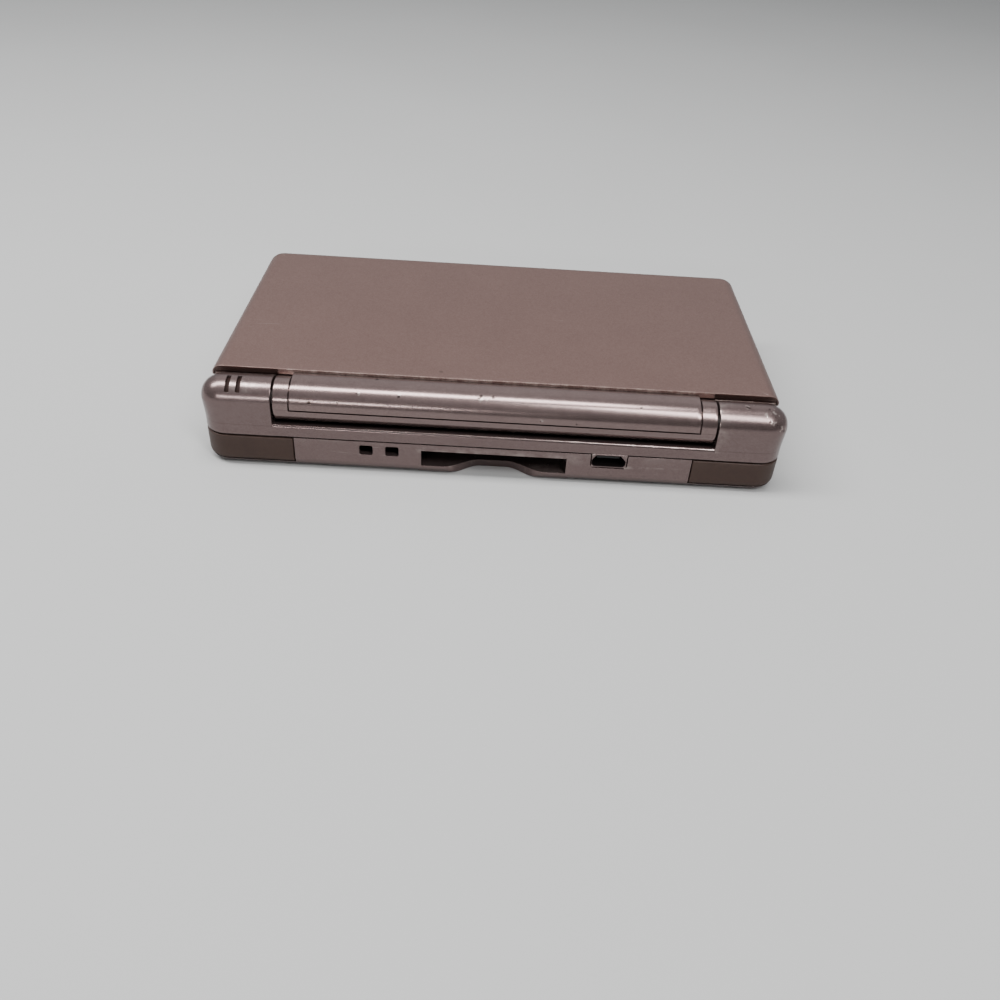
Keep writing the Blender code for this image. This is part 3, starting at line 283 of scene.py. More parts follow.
def makeFlakes():
    # painted glints: each small cell of the paint has its own brightness, standing in for the glint of metal
    # flakes
    tree, given, out = startGroup("metalFlakes", {"Scale": 4000}, ["Glint"])
    cells = put(tree, "ShaderNodeTexVoronoi", {"Vector": objectPlace(tree), "Scale": given["Scale"]})
    tree.links.new(part(tree, cells.outputs["Color"], 0), out["Glint"])
    return tree


def makeEdgeWearAndSheen():
    # the pointed edges of the mesh, broken up by noise: real edge wear, and painted highlights along the
    # edges
    inputs = {"From": 0.52, "To": 0.6, "Breakup Scale": 420, "Amount": 1}
    tree, given, out = startGroup("edgeWearAndSheen", inputs, ["Mask"])
    pointed = put(tree, "ShaderNodeNewGeometry").outputs["Pointiness"]
    edge = spread(tree, pointed, given["From"], given["To"])
    broken = noise(tree, objectPlace(tree), given["Breakup Scale"], 6.0, Roughness=0.7)
    worn = times(tree, edge, spread(tree, broken, 0.42, 0.62))
    tree.links.new(times(tree, worn, given["Amount"]), out["Mask"])
    return tree


def makeScratches():
    # long thin noise in two directions, of which only the crests are kept, and only in patches
    inputs = {"Scale": 120, "Amount": 1, "Turn": 0.3, "Cover": 0.5}
    tree, given, out = startGroup("fineScratches", inputs, ["Mask"])
    where = objectPlace(tree)
    marks = []
    for sign, stretch in ((1, (1.0, 14.0, 14.0)), (-1, (1.3, 9.0, 9.0))):
        angle = put(tree, "ShaderNodeCombineXYZ", {"Z": times(tree, given["Turn"], float(sign))}).outputs[0]
        values = {"Vector": where, "Rotation": angle, "Scale": stretch}
        turned = put(tree, "ShaderNodeMapping", values).outputs[0]
        marks.append(spread(tree, noise(tree, turned, given["Scale"], 2.0), 0.68, 0.72))
    opened = minus(tree, 1.0, given["Cover"])
    patches = spread(tree, noise(tree, where, 60.0, 2.0), opened, plus(tree, opened, 0.08))
    kept = times(tree, plus(tree, marks[0], marks[1]), patches)
    tree.links.new(times(tree, kept, given["Amount"]), out["Mask"])
    return tree


def makeNicks():
    # small chips: near the middle of a few cells of a coarse pattern
    inputs = {"Scale": 260, "Size": 0.12, "Cover": 0.4, "Amount": 1}
    tree, given, out = startGroup("smallNicks", inputs, ["Mask"])
    where = objectPlace(tree)
    bent = put(tree, "ShaderNodeTexNoise", {"Vector": where, "Scale": 900.0, "Detail": 2.0}).outputs["Color"]
    values = {"Factor": 0.0012, "A": where, "B": bent}
    moved = put(tree, "ShaderNodeMix", values, data_type="VECTOR").outputs[1]
    cells = put(tree, "ShaderNodeTexVoronoi", {"Vector": moved, "Scale": given["Scale"]}).outputs
    near = below(tree, cells["Distance"], given["Size"])
    chosen = below(tree, part(tree, cells["Color"], 1), given["Cover"])
    tree.links.new(times(tree, times(tree, near, chosen), given["Amount"]), out["Mask"])
    return tree


def makeDust():
    # specks and a faint film on what faces up in the closed console
    tree, given, out = startGroup("settledDust", {"Amount": 1, "Scale": 700}, ["Mask"])
    spot = put(tree, "ShaderNodeTexCoord").outputs
    up = put(tree, "ShaderNodeSeparateXYZ", {"Vector": spot["Normal"]}).outputs["Z"]
    film = spread(tree, noise(tree, spot["Object"], 45.0, 8.0, Roughness=0.75), 0.45, 0.8)
    values = {"Vector": spot["Object"], "Scale": given["Scale"]}
    specks = put(tree, "ShaderNodeTexVoronoi", values).outputs["Distance"]
    both = plus(tree, times(tree, film, 0.12), spread(tree, specks, 0.13, 0.06))
    lying = times(tree, both, spread(tree, up, 0.2, 0.9))
    tree.links.new(times(tree, lying, given["Amount"]), out["Mask"])
    return tree


def makeSeamShadeLine():
    # painted seam shade: a dark hairline all round at one height, on the rear part only
    inputs = {"Height": 0.011, "Width": 0.00006, "Behind": 0.03}
    tree, given, out = startGroup("seamShadeLine", inputs, ["Mask"])
    where = put(tree, "ShaderNodeSeparateXYZ", {"Vector": objectPlace(tree)}).outputs
    off = minus(tree, where["Z"], given["Height"])
    away = put(tree, "ShaderNodeMath", {0: off}, operation="ABSOLUTE").outputs[0]
    line = below(tree, away, given["Width"])
    tree.links.new(times(tree, line, below(tree, given["Behind"], where["Y"])), out["Mask"])
    return tree


def makeWornSpot():
    # how much the chips crowd round one point: falls evenly to nothing at the reach
    inputs = {"X": 0, "Y": 0, "Z": 0, "Reach": 0.008, "Strength": 1}
    tree, given, out = startGroup("wornSpot", inputs, ["Crowd"])
    point = put(tree, "ShaderNodeCombineXYZ", {axis: given[axis] for axis in "XYZ"}).outputs[0]
    values = {0: objectPlace(tree), 1: point}
    away = put(tree, "ShaderNodeVectorMath", values, operation="DISTANCE").outputs["Value"]
    share = put(tree, "ShaderNodeMath", {0: away, 1: given["Reach"]}, operation="DIVIDE").outputs[0]
    tree.links.new(times(tree, spread(tree, share, 1.0, 0.2), given["Strength"]), out["Crowd"])
    return tree


def makeChips():
    # the crests of two noises, one for bared metal and one for dark pits, where wear crowds
    tree, given, out = startGroup("paintChips", {"Crowd": 0, "Scale": 1100}, ["Pale", "Dark"])
    where = objectPlace(tree)
    for label, share, low in (("Pale", 1.0, 0.57), ("Dark", 0.7, 0.6)):
        crests = noise(tree, where, times(tree, given["Scale"], share), 3.0)
        tree.links.new(spread(tree, times(tree, crests, given["Crowd"]), low, low + 0.03), out[label])
    return tree


effects = {"seamShadeLine": makeSeamShadeLine(), "wornSpot": makeWornSpot(), "chips": makeChips(),
           "grain": makeGrain(), "flakes": makeFlakes(), "edgeWearAndSheen": makeEdgeWearAndSheen(),
           "scratches": makeScratches(), "nicks": makeNicks(), "dust": makeDust()}
print("shared effects ready")


def useEffect(tree, name, **values):
    node = put(tree, "ShaderNodeGroup", node_tree=effects[name])
    for key, value in values.items():
        node.inputs[key].default_value = value
    return node


def blendColour(tree, factor, a, b):
    return put(tree, "ShaderNodeMix", {0: factor, 6: a, 7: b}, data_type="RGBA").outputs[2]


def bumped(tree, height, strength, distance):
    values = {"Height": height, "Strength": strength, "Distance": distance}
    return put(tree, "ShaderNodeBump", values).outputs["Normal"]


def startFinish(name, **fixed):
    material = bpy.data.materials.new(name)
    material.use_nodes = True
    shader = material.node_tree.nodes["Principled BSDF"]
    for key, value in fixed.items():
        shader.inputs[key.replace("_", " ")].default_value = value
    return material, material.node_tree, shader.inputs


def rosePaint(name, look):
    # metal paint: grain varies it, flakes give painted glints, edges bare paler metal as wear and painted
    # highlight, scratches shine, dust dulls
    material, tree, skin = startFinish(name, Metallic=look["metallic"], Coat_Weight=look["coat"],
                                       Coat_Roughness=look["coatRoughness"])

    def mask(effect, **values):
        return useEffect(tree, effect, **values).outputs["Mask"]

    grain = useEffect(tree, "grain", **{"Scale": look["grainScale"], "Coarse Share": 0.45}).outputs
    glint = useEffect(tree, "flakes", Scale=look["flakeScale"]).outputs["Glint"]
    # the pointed edges: real wear and painted edge highlights, both drawn in the bare colour
    wear = mask("edgeWearAndSheen", From=look["wearFrom"], To=look["wearTo"], Amount=look["wear"])
    scratch = mask("scratches", Scale=look["scratchScale"], Cover=look["scratchCover"],
                   Amount=look["scratch"])
    nick = mask("nicks", Cover=look["nickCover"], Amount=look["nick"])
    dust = mask("dust", Amount=look["dust"])
    paint = blendColour(tree, grain["Shade"], look["deep"], look["pale"])
    paint = blendColour(tree, times(tree, glint, look["glint"]), paint, look["spark"])
    for share, colour in ((wear, "bare"), (scratch, "bare"), (nick, "nickColour")):
        paint = blendColour(tree, share, paint, look[colour])
    crowd = 0.0
    for x, y, z, reach, strength in look["spots"]:
        near = useEffect(tree, "wornSpot", X=x, Y=y, Z=z, Reach=reach, Strength=strength).outputs["Crowd"]
        crowd = put(tree, "ShaderNodeMath", {0: crowd, 1: near}, operation="MAXIMUM").outputs[0]
    if look["spots"]:
        chips = put(tree, "ShaderNodeGroup", {"Crowd": crowd}, node_tree=effects["chips"]).outputs
        paint = blendColour(tree, chips["Pale"], paint, look["bare"])
        paint = blendColour(tree, chips["Dark"], paint, look["nickColour"])
        nick = plus(tree, nick, chips["Dark"])
    # painted seam shade: a dark hairline at the look's line height, along a seam edge such as the hinge
    # cover's lower edge
    line = mask("seamShadeLine", Height=look["line"])
    paint = blendColour(tree, times(tree, line, 0.45), paint, look["nickColour"])
    tree.links.new(blendColour(tree, dust, paint, look["dustColour"]), skin["Base Color"])
    rough = spread(tree, grain["Shade"], 0.0, 1.0, look["roughness"] - 0.02, look["roughness"] + 0.02)
    values = {0: plus(tree, wear, scratch), 2: rough, 3: look["roughness"] * 0.7}
    rough = put(tree, "ShaderNodeMix", values, data_type="FLOAT").outputs[0]
    tree.links.new(plus(tree, rough, times(tree, dust, 0.35)), skin["Roughness"])
    height = plus(tree, times(tree, grain["Height"], 0.25), 0.5)
    height = minus(tree, height, times(tree, plus(tree, nick, scratch), 0.5))
    tree.links.new(bumped(tree, height, look["bump"], 0.00004), skin["Normal"])
    return material


def matteFinish(name, deep, pale, roughness, metallic=0.0, grainScale=1200.0, bump=0.15, wear=0.3, dust=0.3,
                bare=None, coat=0.0, gloss=0.5):
    # moulded plastic, rubber or plain metal: grain in colour and height, rubbed edges that are also painted
    # edge highlights, a little dust
    material, tree, skin = startFinish(name, Metallic=metallic, Coat_Weight=coat, Coat_Roughness=0.15,
                                       Specular_IOR_Level=gloss)
    grain = useEffect(tree, "grain", **{"Scale": grainScale, "Coarse Share": 0.5}).outputs
    rubbed = useEffect(tree, "edgeWearAndSheen", Amount=wear).outputs["Mask"]
    dusty = useEffect(tree, "dust", Amount=dust).outputs["Mask"]
    bare = bare or tuple(min(1.0, c * 1.7 + 0.01) for c in pale[:3]) + (1.0,)
    colour = blendColour(tree, rubbed, blendColour(tree, grain["Shade"], deep, pale), bare)
    tree.links.new(blendColour(tree, dusty, colour, (0.45, 0.43, 0.41, 1.0)), skin["Base Color"])
    rough = spread(tree, grain["Shade"], 0.0, 1.0, roughness - 0.06, roughness + 0.06)
    tree.links.new(rough, skin["Roughness"])
    tree.links.new(bumped(tree, grain["Height"], bump, 0.00004), skin["Normal"])
    return material


def screenGlass(name, deep, pale, roughness):
    # dark display behind a clear cover: faint pixel rows, finger marks in the gloss
    material, tree, skin = startFinish(name, Metallic=0.0, Coat_Weight=0.6, Coat_Roughness=0.05)
    where = objectPlace(tree)
    values = {"Vector": where, "Scale": 640.0, "Distortion": 0.0}
    rows = put(tree, "ShaderNodeTexWave", values, bands_direction="Y").outputs["Fac"]
    smear = noise(tree, where, 55.0, 5.0, Distortion=1.5)
    scratch = useEffect(tree, "scratches", Scale=170.0, Amount=0.5, Cover=0.45).outputs["Mask"]
    colour = blendColour(tree, times(tree, rows, 0.2), deep, pale)
    colour = blendColour(tree, times(tree, scratch, 0.4), colour, (0.3, 0.3, 0.3, 1.0))
    dusty = useEffect(tree, "dust", Amount=0.3).outputs["Mask"]
    tree.links.new(blendColour(tree, dusty, colour, (0.4, 0.4, 0.39, 1.0)), skin["Base Color"])
    tree.links.new(spread(tree, smear, 0.35, 0.75, roughness, roughness + 0.1), skin["Roughness"])
    return material


commonLook = {"coat": 0.05, "coatRoughness": 0.2, "flakeScale": 4800.0, "glint": 0.2,
              "wearFrom": 0.53, "wearTo": 0.62, "wear": 0.6, "dustColour": (0.25, 0.22, 0.2, 1)}
# spots: x, y, z and reach in metres, then strength
roseLooks = {
    "lid": {
        **commonLook, "deep": (0.114, 0.066, 0.057, 1), "pale": (0.128, 0.076, 0.066, 1),
        "spark": (0.3, 0.21, 0.19, 1), "bare": (0.4, 0.32, 0.29, 1), "nickColour": (0.05, 0.03, 0.025, 1),
        "dustColour": (0.3, 0.26, 0.24, 1), "roughness": 0.42, "metallic": 0.6, "coatRoughness": 0.3,
        "grainScale": 700.0, "flakeScale": 5200.0, "scratchScale": 70.0, "scratch": 0.12,
        "scratchCover": 0.4, "nickCover": 0.02, "nick": 0.5, "dust": 0.06, "bump": 0.06, "line": 0.0,
        "spots": []},
    "housing": {
        **commonLook, "deep": (0.12, 0.083, 0.08, 1), "pale": (0.138, 0.098, 0.095, 1),
        "spark": (0.3, 0.23, 0.22, 1), "bare": (0.36, 0.3, 0.28, 1), "nickColour": (0.035, 0.02, 0.018, 1),
        "roughness": 0.25, "metallic": 0.8, "grainScale": 600.0, "wearFrom": 0.54, "wearTo": 0.63,
        "wear": 0.5, "scratchScale": 90.0, "scratch": 0.1, "scratchCover": 0.4, "nickCover": 0.02,
        "nick": 0.6, "dust": 0.08, "bump": 0.1, "line": 0.011,
        "spots": [(-0.062, 0.0345, 0.0195, 0.0075, 1.0), (-0.065, 0.036, 0.0175, 0.005, 1.05),
                  (-0.0565, 0.033, 0.0206, 0.0022, 1.1), (0.0655, 0.035, 0.009, 0.002, 1.0)]},
    "barrel": {
        **commonLook, "deep": (0.15, 0.104, 0.099, 1), "pale": (0.175, 0.124, 0.118, 1),
        "spark": (0.34, 0.27, 0.26, 1), "bare": (0.3, 0.25, 0.235, 1), "nickColour": (0.03, 0.018, 0.015, 1),
        "roughness": 0.22, "metallic": 0.85, "grainScale": 500.0, "scratchScale": 70.0, "scratch": 0.2,
        "scratchCover": 0.45, "nickCover": 0.06, "nick": 0.9, "dust": 0.06, "bump": 0.16, "line": 0.01545,
        "spots": [(0.0308, 0.0351, 0.0195, 0.0016, 1.25), (0.0352, 0.0364, 0.0179, 0.0011, 1.25),
                  (0.0415, 0.0366, 0.0176, 0.0013, 1.2), (0.0218, 0.0351, 0.0196, 0.0018, 1.2),
                  (-0.0102, 0.0369, 0.0165, 0.0012, 1.2), (-0.0184, 0.0369, 0.0162, 0.0014, 1.2),
                  (-0.0324, 0.0345, 0.02, 0.0014, 1.2), (0.003, 0.0347, 0.0198, 0.004, 1.05)]},
}
lidPaint = rosePaint("lidPaint", roseLooks["lid"])
housingPaint = rosePaint("housingPaint", roseLooks["housing"])
barrelPaint = rosePaint("barrelPaint", roseLooks["barrel"])
shoulderPlastic = matteFinish("shoulderPlastic", (0.034, 0.0185, 0.014, 1), (0.045, 0.025, 0.019, 1),
                              0.5, 0.1, wear=0.4, dust=0.05, gloss=0.3)
keyPlastic = matteFinish("keyPlastic", (0.15, 0.1, 0.092, 1), (0.185, 0.128, 0.116, 1),
                         0.38, 0.35, wear=0.4, dust=0.1, coat=0.2)
darkPlastic = matteFinish("darkPlastic", (0.006, 0.006, 0.007, 1), (0.013, 0.013, 0.014, 1), 0.5, wear=0.3)
# painted shade: a near-black matte finish for seams and gaps where only shade falls, and for the black inside
# of the charge socket
paintedShadeBlack = matteFinish("paintedShadeBlack", (0.003, 0.002, 0.002, 1), (0.005, 0.003, 0.003, 1),
                      0.8, wear=0.0, dust=0.0, gloss=0.1)
screenBorder = matteFinish("screenBorder", (0.007, 0.007, 0.008, 1), (0.011, 0.011, 0.012, 1),
                           0.22, wear=0.1, coat=0.5)
displayGlass = screenGlass("displayGlass", (0.018, 0.021, 0.022, 1), (0.032, 0.036, 0.036, 1), 0.1)
plainSteel = matteFinish("plainSteel", (0.45, 0.45, 0.46, 1), (0.6, 0.6, 0.6, 1),
                         0.33, 1.0, 2200.0, 0.2, 0.3, 0.1)
softRubber = matteFinish("softRubber", (0.025, 0.025, 0.025, 1), (0.045, 0.044, 0.043, 1),
                         0.85, wear=0.2, dust=0.6)
greySilicone = matteFinish("greySilicone", (0.26, 0.26, 0.26, 1), (0.32, 0.32, 0.31, 1), 0.75, wear=0.1)
smokedLight = matteFinish("smokedLight", (0.012, 0.005, 0.004, 1), (0.02, 0.009, 0.007, 1),
                          0.6, wear=0.0, dust=0.0, gloss=0.1)
blackenedSteel = matteFinish("blackenedSteel", (0.01, 0.01, 0.01, 1), (0.02, 0.02, 0.02, 1),
                             0.5, 0.6, 1800.0, wear=0.2, dust=0.0)
batteryWrap = matteFinish("batteryWrap", (0.1, 0.1, 0.11, 1), (0.14, 0.14, 0.15, 1), 0.45, grainScale=1500.0)


def circuitBoard():
    # green solder mask over a maze of straight copper paths, from the cells of a square pattern
    material, tree, skin = startFinish("circuitBoard", Metallic=0.0, Coat_Weight=0.3, Coat_Roughness=0.2)
    values = {"Vector": objectPlace(tree), "Scale": 420.0}
    paths = put(tree, "ShaderNodeTexVoronoi", values, distance="CHEBYCHEV", feature="F1").outputs["Distance"]
    line = spread(tree, paths, 0.44, 0.47)
    grain = useEffect(tree, "grain", Scale=900.0)
    mask = blendColour(tree, grain.outputs["Shade"], (0.012, 0.09, 0.035, 1), (0.02, 0.13, 0.05, 1))
    tree.links.new(blendColour(tree, line, mask, (0.05, 0.22, 0.08, 1)), skin["Base Color"])
    tree.links.new(spread(tree, grain.outputs["Shade"], 0.0, 1.0, 0.35, 0.5), skin["Roughness"])
    tree.links.new(bumped(tree, line, 0.4, 0.00003), skin["Normal"])
    return material


def amberFilm():
    # flexible cable: thin copper tracks under amber film, as even waves along it
    material, tree, skin = startFinish("amberFilm", Metallic=0.1, Coat_Weight=0.4, Coat_Roughness=0.15)
    values = {"Vector": objectPlace(tree), "Scale": 500.0}
    tracks = put(tree, "ShaderNodeTexWave", values, bands_direction="X").outputs["Fac"]
    grain = useEffect(tree, "grain", Scale=700.0)
    film = blendColour(tree, grain.outputs["Shade"], (0.28, 0.12, 0.02, 1), (0.36, 0.17, 0.03, 1))
    colour = blendColour(tree, spread(tree, tracks, 0.6, 0.8), film, (0.5, 0.27, 0.08, 1))
    tree.links.new(colour, skin["Base Color"])
    tree.links.new(spread(tree, grain.outputs["Shade"], 0.0, 1.0, 0.3, 0.42), skin["Roughness"])
    return material


boardGreen = circuitBoard()
flexAmber = amberFilm()
print("finishes ready")


lidPlate = {"frontRadius": 4.0, "rearRadius": 1.0, "wider": 0.3, "topRound": 3.15, "rearEdge": 0.22,
            "lowEdge": 0.2, "wall": 1.4, "rimBack": 0.27, "rimDeep": 0.6, "rimThick": 0.42, "rimFoot": 18.2,
            "lipHalf": 49.6, "lipFront": 27.2, "lipLow": 19.6, "lipHollow": 20.2, "lipDrop": 0.02,
            "lipRound": 0.2, "seamHeights": (19.22, 19.46), "ledgeHeights": (18.62, 19.0),
            "ledgeBack": 0.14, "ledgeInner": 50.25, "ledgeOuter": 64.2}


def coveRear(z):
    # The lid's rear face: round the hinge axis low down, then a flat that leans back as far as the lid opens.
    rise, radius, slope = np.asarray(z, float) - hinge["z"], hinge["coveRadius"], hinge["lidSlope"]
    roundPart = hinge["y"] - np.sqrt(np.maximum(radius ** 2 - rise ** 2, 0))
    leaning = hinge["y"] - radius / math.cos(slope) + rise * math.tan(slope)
    return np.where(rise > radius * math.sin(slope), leaning, roundPart)


def rimRings(half, top, foot):
    # The rim's outline, seen from the rear, runs up one side, round the quarter arc, across and down again.
    # At each of its points p with outward direction n, the ring holds p - n * depth, behind the cove.
    round = lidPlate["topRound"]
    turn = np.linspace(0, np.pi / 2, 12)
    x = np.concatenate([[half], half - round + round * np.cos(turn)])
    z = np.concatenate([[foot], top - round + round * np.sin(turn)])
    nx, nz = np.concatenate([[1.0], np.cos(turn)]), np.concatenate([[0.0], np.sin(turn)])
    x, z = np.concatenate([x, -x[::-1]]), np.concatenate([z, z[::-1]])
    nx, nz = np.concatenate([nx, -nx[::-1]]), np.concatenate([nz, nz[::-1]])
    back, deep, thick = lidPlate["rimBack"], lidPlate["rimDeep"], lidPlate["rimThick"]
    depth = np.array([0.02, 0.02, 0.06, 0.16, thick, thick])
    behind = np.array([-deep, back - 0.14, back - 0.04, back, back, -deep])
    across = x[:, None] - nx[:, None] * depth
    up = z[:, None] - nz[:, None] * depth
    return np.stack([across, coveRear(up) + behind, up], axis=2)


def makeLidPlate():
    # Rounded rectangles by height: sides and front draw in along a quarter round, the rear follows the cove.
    low, high = nodeSpan("lid_outer_shell")
    low[0], high[0] = low[0] - lidPlate["wider"], high[0] + lidPlate["wider"]
    inset, rise = roundOff(lidPlate["topRound"], 18)
    lowInset, lowRise = roundOff(lidPlate["lowEdge"], 3)
    z = np.concatenate([low[2] + lidPlate["lowEdge"] - lowRise[::-1],
                        np.linspace(low[2] + 0.4, high[2] - 3.3, 5), high[2] - lidPlate["topRound"] + rise])
    side = np.concatenate([lowInset[::-1], np.zeros(5), inset])
    edge = lidPlate["rearEdge"]
    near = np.clip((z - (high[2] - edge)) / edge, 0, 1)
    rear = coveRear(z) - edge * (1 - np.sqrt(1 - near ** 2)) - np.where(z < low[2] + 0.3, side, 0)
    outer = sections(low[0] + side, high[0] - side, low[1] + side, rear,
                     lidPlate["frontRadius"] - side, lidPlate["rearRadius"], z)
    # flat rings inside the rim keep the edge wear near it
    inward = np.array([0.3, 1.2, 3.0])
    rim = outer[-1].min(0), outer[-1].max(0)
    flatTop = sections(rim[0][0] + inward, rim[1][0] - inward, rim[0][1] + inward, rim[1][1] - inward,
                       0.6, 0.6, high[2])
    wall = lidPlate["wall"]
    inner = sections(low[0] + wall, high[0] - wall, low[1] + wall, float(coveRear(low[2])) - wall,
                     2.6, 1.6, np.array([high[2] - wall, low[2]]))
    plate = solid("lidPlate", np.concatenate([inner, outer, flatTop]))
    # over the barrel the plate reaches back to the cover's front lip
    edge, up = roundOff(lidPlate["lipRound"], 4)
    lipTop = high[2] - lidPlate["lipDrop"]
    lipRear = float(coveRear(lipTop)) + lidPlate["rimBack"]
    front, lipLow = lidPlate["lipFront"], lidPlate["lipLow"]
    profile = np.concatenate([[[front, lipLow], [lipRear - 0.5, lipLow], [lipRear, lidPlate["lipHollow"]]],
                              np.column_stack([lipRear - edge, lipTop - lidPlate["lipRound"] + up]),
                              [[front, lipTop]]])
    half = lidPlate["lipHalf"]
    added = [solid("rim", rimRings(high[0], high[2], lidPlate["rimFoot"])),
             solid("lip", alongX(profile, [-half, half]))]
    # over the ears a step runs under the seam on the rear face
    ledgeLow, ledgeHigh = lidPlate["ledgeHeights"]
    seamLow, seamHigh = lidPlate["seamHeights"]
    reach = lidPlate["ledgeInner"], lidPlate["ledgeOuter"]
    cuts = []
    for x in (reach, (-reach[1], -reach[0])):
        low, high = float(coveRear(ledgeLow)), float(coveRear(ledgeHigh))
        back = lidPlate["ledgeBack"]
        profile = [[low - 0.5, ledgeLow], [low + back - 0.05, ledgeLow], [low + back, ledgeLow + 0.05],
                   [high + back, ledgeHigh - 0.05], [high + back - 0.05, ledgeHigh], [high - 0.5, ledgeHigh]]
        added.append(solid("ledge", alongX(profile, x)))
        low, high = float(coveRear(seamLow)), float(coveRear(seamHigh))
        profile = [[low - 0.3, seamLow], [low + 1, seamLow], [high + 1, seamHigh], [high - 0.3, seamHigh]]
        cuts.append(solid("seam", alongX(profile, x)))
    carve(plate, added, "UNION")
    carve(plate, cuts)
    return dress(plate, "lid", [lidPaint], ["lid_outer_shell"])


makeLidPlate()


lidFrame = {"frontRadius": 4.0, "rearRadius": 1.0, "edgeRound": 0.8, "rimWidth": 1.6, "pocketDepth": 0.6,
            "wall": 1.4, "windowEdge": 0.25, "windowGap": 0.3, "pocketRear": 24.5, "speakerHole": 0.6,
            "speakerPitch": 3.4, "speakerX": 48.5, "padX": 59.5, "padY": -31.2, "padHole": 1.95,
            "leastRound": 0.4}


def makeLidFrame():
    # One closed band of rounded rectangles: up the outside, in over the top, down inside, in to the window,
    # through the floor, out along the pocket and back over the rim.
    half, front = seams["lidHalf"], nodeSpan("lid_inner_shell")[0][1]
    top, rim, wall, width = seams["frameTop"], seams["rimLow"], lidFrame["wall"], lidFrame["rimWidth"]
    floor, edge, gap = rim + lidFrame["pocketDepth"], lidFrame["windowEdge"], lidFrame["windowGap"]
    windowLow, windowHigh = nodeSpan("upper_window")
    rows = []

    def lidRow(inset, rear, z):
        radii = [max(lidFrame[key] - inset, lidFrame["leastRound"]) for key in ("frontRadius", "rearRadius")]
        rows.append((inset - half, half - inset, front + inset, rear - inset, *radii, z))

    def pocket(inset, z):
        lidRow(inset, lidFrame["pocketRear"] + width, z)

    def window(grown, z):
        reach = gap + grown
        rows.append((windowLow[0] - reach, windowHigh[0] + reach, windowLow[1] - reach, windowHigh[1] + reach,
                     1.0 + grown, 1.0 + grown, z))

    inset, rise = roundOff(lidFrame["edgeRound"], 6)
    outside = list(zip(inset[::-1], rim + lidFrame["edgeRound"] - rise[::-1]))
    outside += [(0.0, z) for z in np.linspace(12.9, 16.5, 7)] + [(0.06, 16.7), (0.2, top)]
    for across, z in outside:
        lidRow(across, float(coveRear(z)), z)
    pocket(wall, top)
    pocket(wall, floor + wall)
    for grown, z in ((0.0, floor + wall), (0.0, floor + edge), (edge * 0.3, floor + edge * 0.3),
                     (edge, floor), (0.6, floor)):
        window(grown, z)
    for inset, z in ((0.6, floor), (0.3, floor), (0.08, floor - 0.08), (0.0, floor - 0.3), (0.0, rim + 0.15),
                     (-0.15, rim)):
        pocket(width + inset, z)
    made = solid("lidFrame", sections(*np.array(rows).T), closed=True)
    tools = []
    centreY = (windowLow[1] + windowHigh[1]) / 2
    pitch, radius = lidFrame["speakerPitch"], lidFrame["speakerHole"]
    radii = [radius + 0.15, radius + 0.02, radius, radius]
    heights = [floor - 0.1, floor + 0.12, floor + 0.3, floor + 2.2]
    for side in (-1, 1):
        for column in (-0.5, 0.5):
            for row in (-1, 0, 1):
                x, y = side * lidFrame["speakerX"] + column * pitch, centreY + row * pitch
                tools.append(solid("speakerBore", lathe(x, y, radii, heights, 20)))
        hole = [lidFrame["padHole"]] * 2
        bore = lathe(side * lidFrame["padX"], lidFrame["padY"], hole, [floor - 0.6, floor + 0.45], 32)
        tools.append(solid("padBore", bore))
    carve(made, tools)
    return dress(made, "lid", [housingPaint], ["lid_inner_shell"])


makeLidFrame()


lidPad = {"radius": 1.8, "dome": 0.35}


def makeLidPads():
    # soft domed stops let into the frame
    for name, node in (("leftStopPad", "left_lid_pad"), ("rightStopPad", "right_lid_pad")):
        low, high = nodeSpan(node)
        x, y = nodeCentre(node)[:2]
        turn = np.linspace(0, np.pi / 2, 7)[1:]
        radii = [*(lidPad["radius"] * np.sin(turn) ** 0.6), lidPad["radius"]]
        heights = [*(low[2] + lidPad["dome"] * (1 - np.sin(np.pi / 2 - turn))), high[2]]
        dress(solid(name, lathe(x, y, radii, heights, 32)), "lid", [softRubber], [node])


makeLidPads()


def makeScreen(name, node, body, faceUp, border):
    # a thin clear block with a soft edge; inside its printed border the display shows
    low, high = nodeSpan(node)
    drop = np.array([0.12, 0.04, 0.0, 0.0, 0.0, 0.0])
    inset = np.array([0.0, 0.0, 0.03, 0.12, border, border + 0.05, border + 0.3])
    if faceUp:
        z = np.concatenate([[low[2]], high[2] - drop])
    else:
        z = np.concatenate([low[2] + drop[::-1], [high[2]]])
        inset = inset[::-1]
    rings = sections(low[0] + inset, high[0] - inset, low[1] + inset, high[1] - inset, 0.7, 0.7, z, 6)
    made = solid(name, rings)
    # faces are numbered band by band, and the caps of the first and last ring come after them
    indices = np.zeros(len(made.data.polygons), np.int32)
    perBand, quads = rings.shape[1], (len(z) - 1) * rings.shape[1]
    if faceUp:
        indices[4 * perBand:quads] = 1
        indices[-1] = 1
    else:
        indices[:2 * perBand] = 1
        indices[quads] = 1
    made.data.polygons.foreach_set("material_index", indices)
    dress(made, body, [screenBorder, displayGlass], [node])


makeScreen("upperWindow", "upper_window", "lid", False, 1.6)
makeScreen("touchPanel", "touch_panel", "base", True, 1.6)
print("lid and screens ready")


barrel = {"endRound": 0.25, "endGap": 0.1, "coverHalf": 46.0, "coverStart": -2.6, "coverEnd": 117.5,
          "swellFrom": 70.0, "swell": 0.8, "coverEdge": 0.14, "coverThickness": 0.9, "gap": 0.3,
          "recess": 1.25, "recessBefore": 3.4, "recessAfter": 4, "soundHole": 0.5, "soundAngle": 290}
neck = {"front": 24.6, "rear": 30.5, "half": 49.55, "endEdge": 0.1, "endShare": 0.985}


def coverLine(degrees):
    # the cover follows the barrel and swells as the square of the way to its front lip
    share = np.clip((degrees - barrel["swellFrom"]) / (barrel["coverEnd"] - barrel["swellFrom"]), 0, 1)
    return hinge["barrelRadius"] + barrel["swell"] * share ** 2


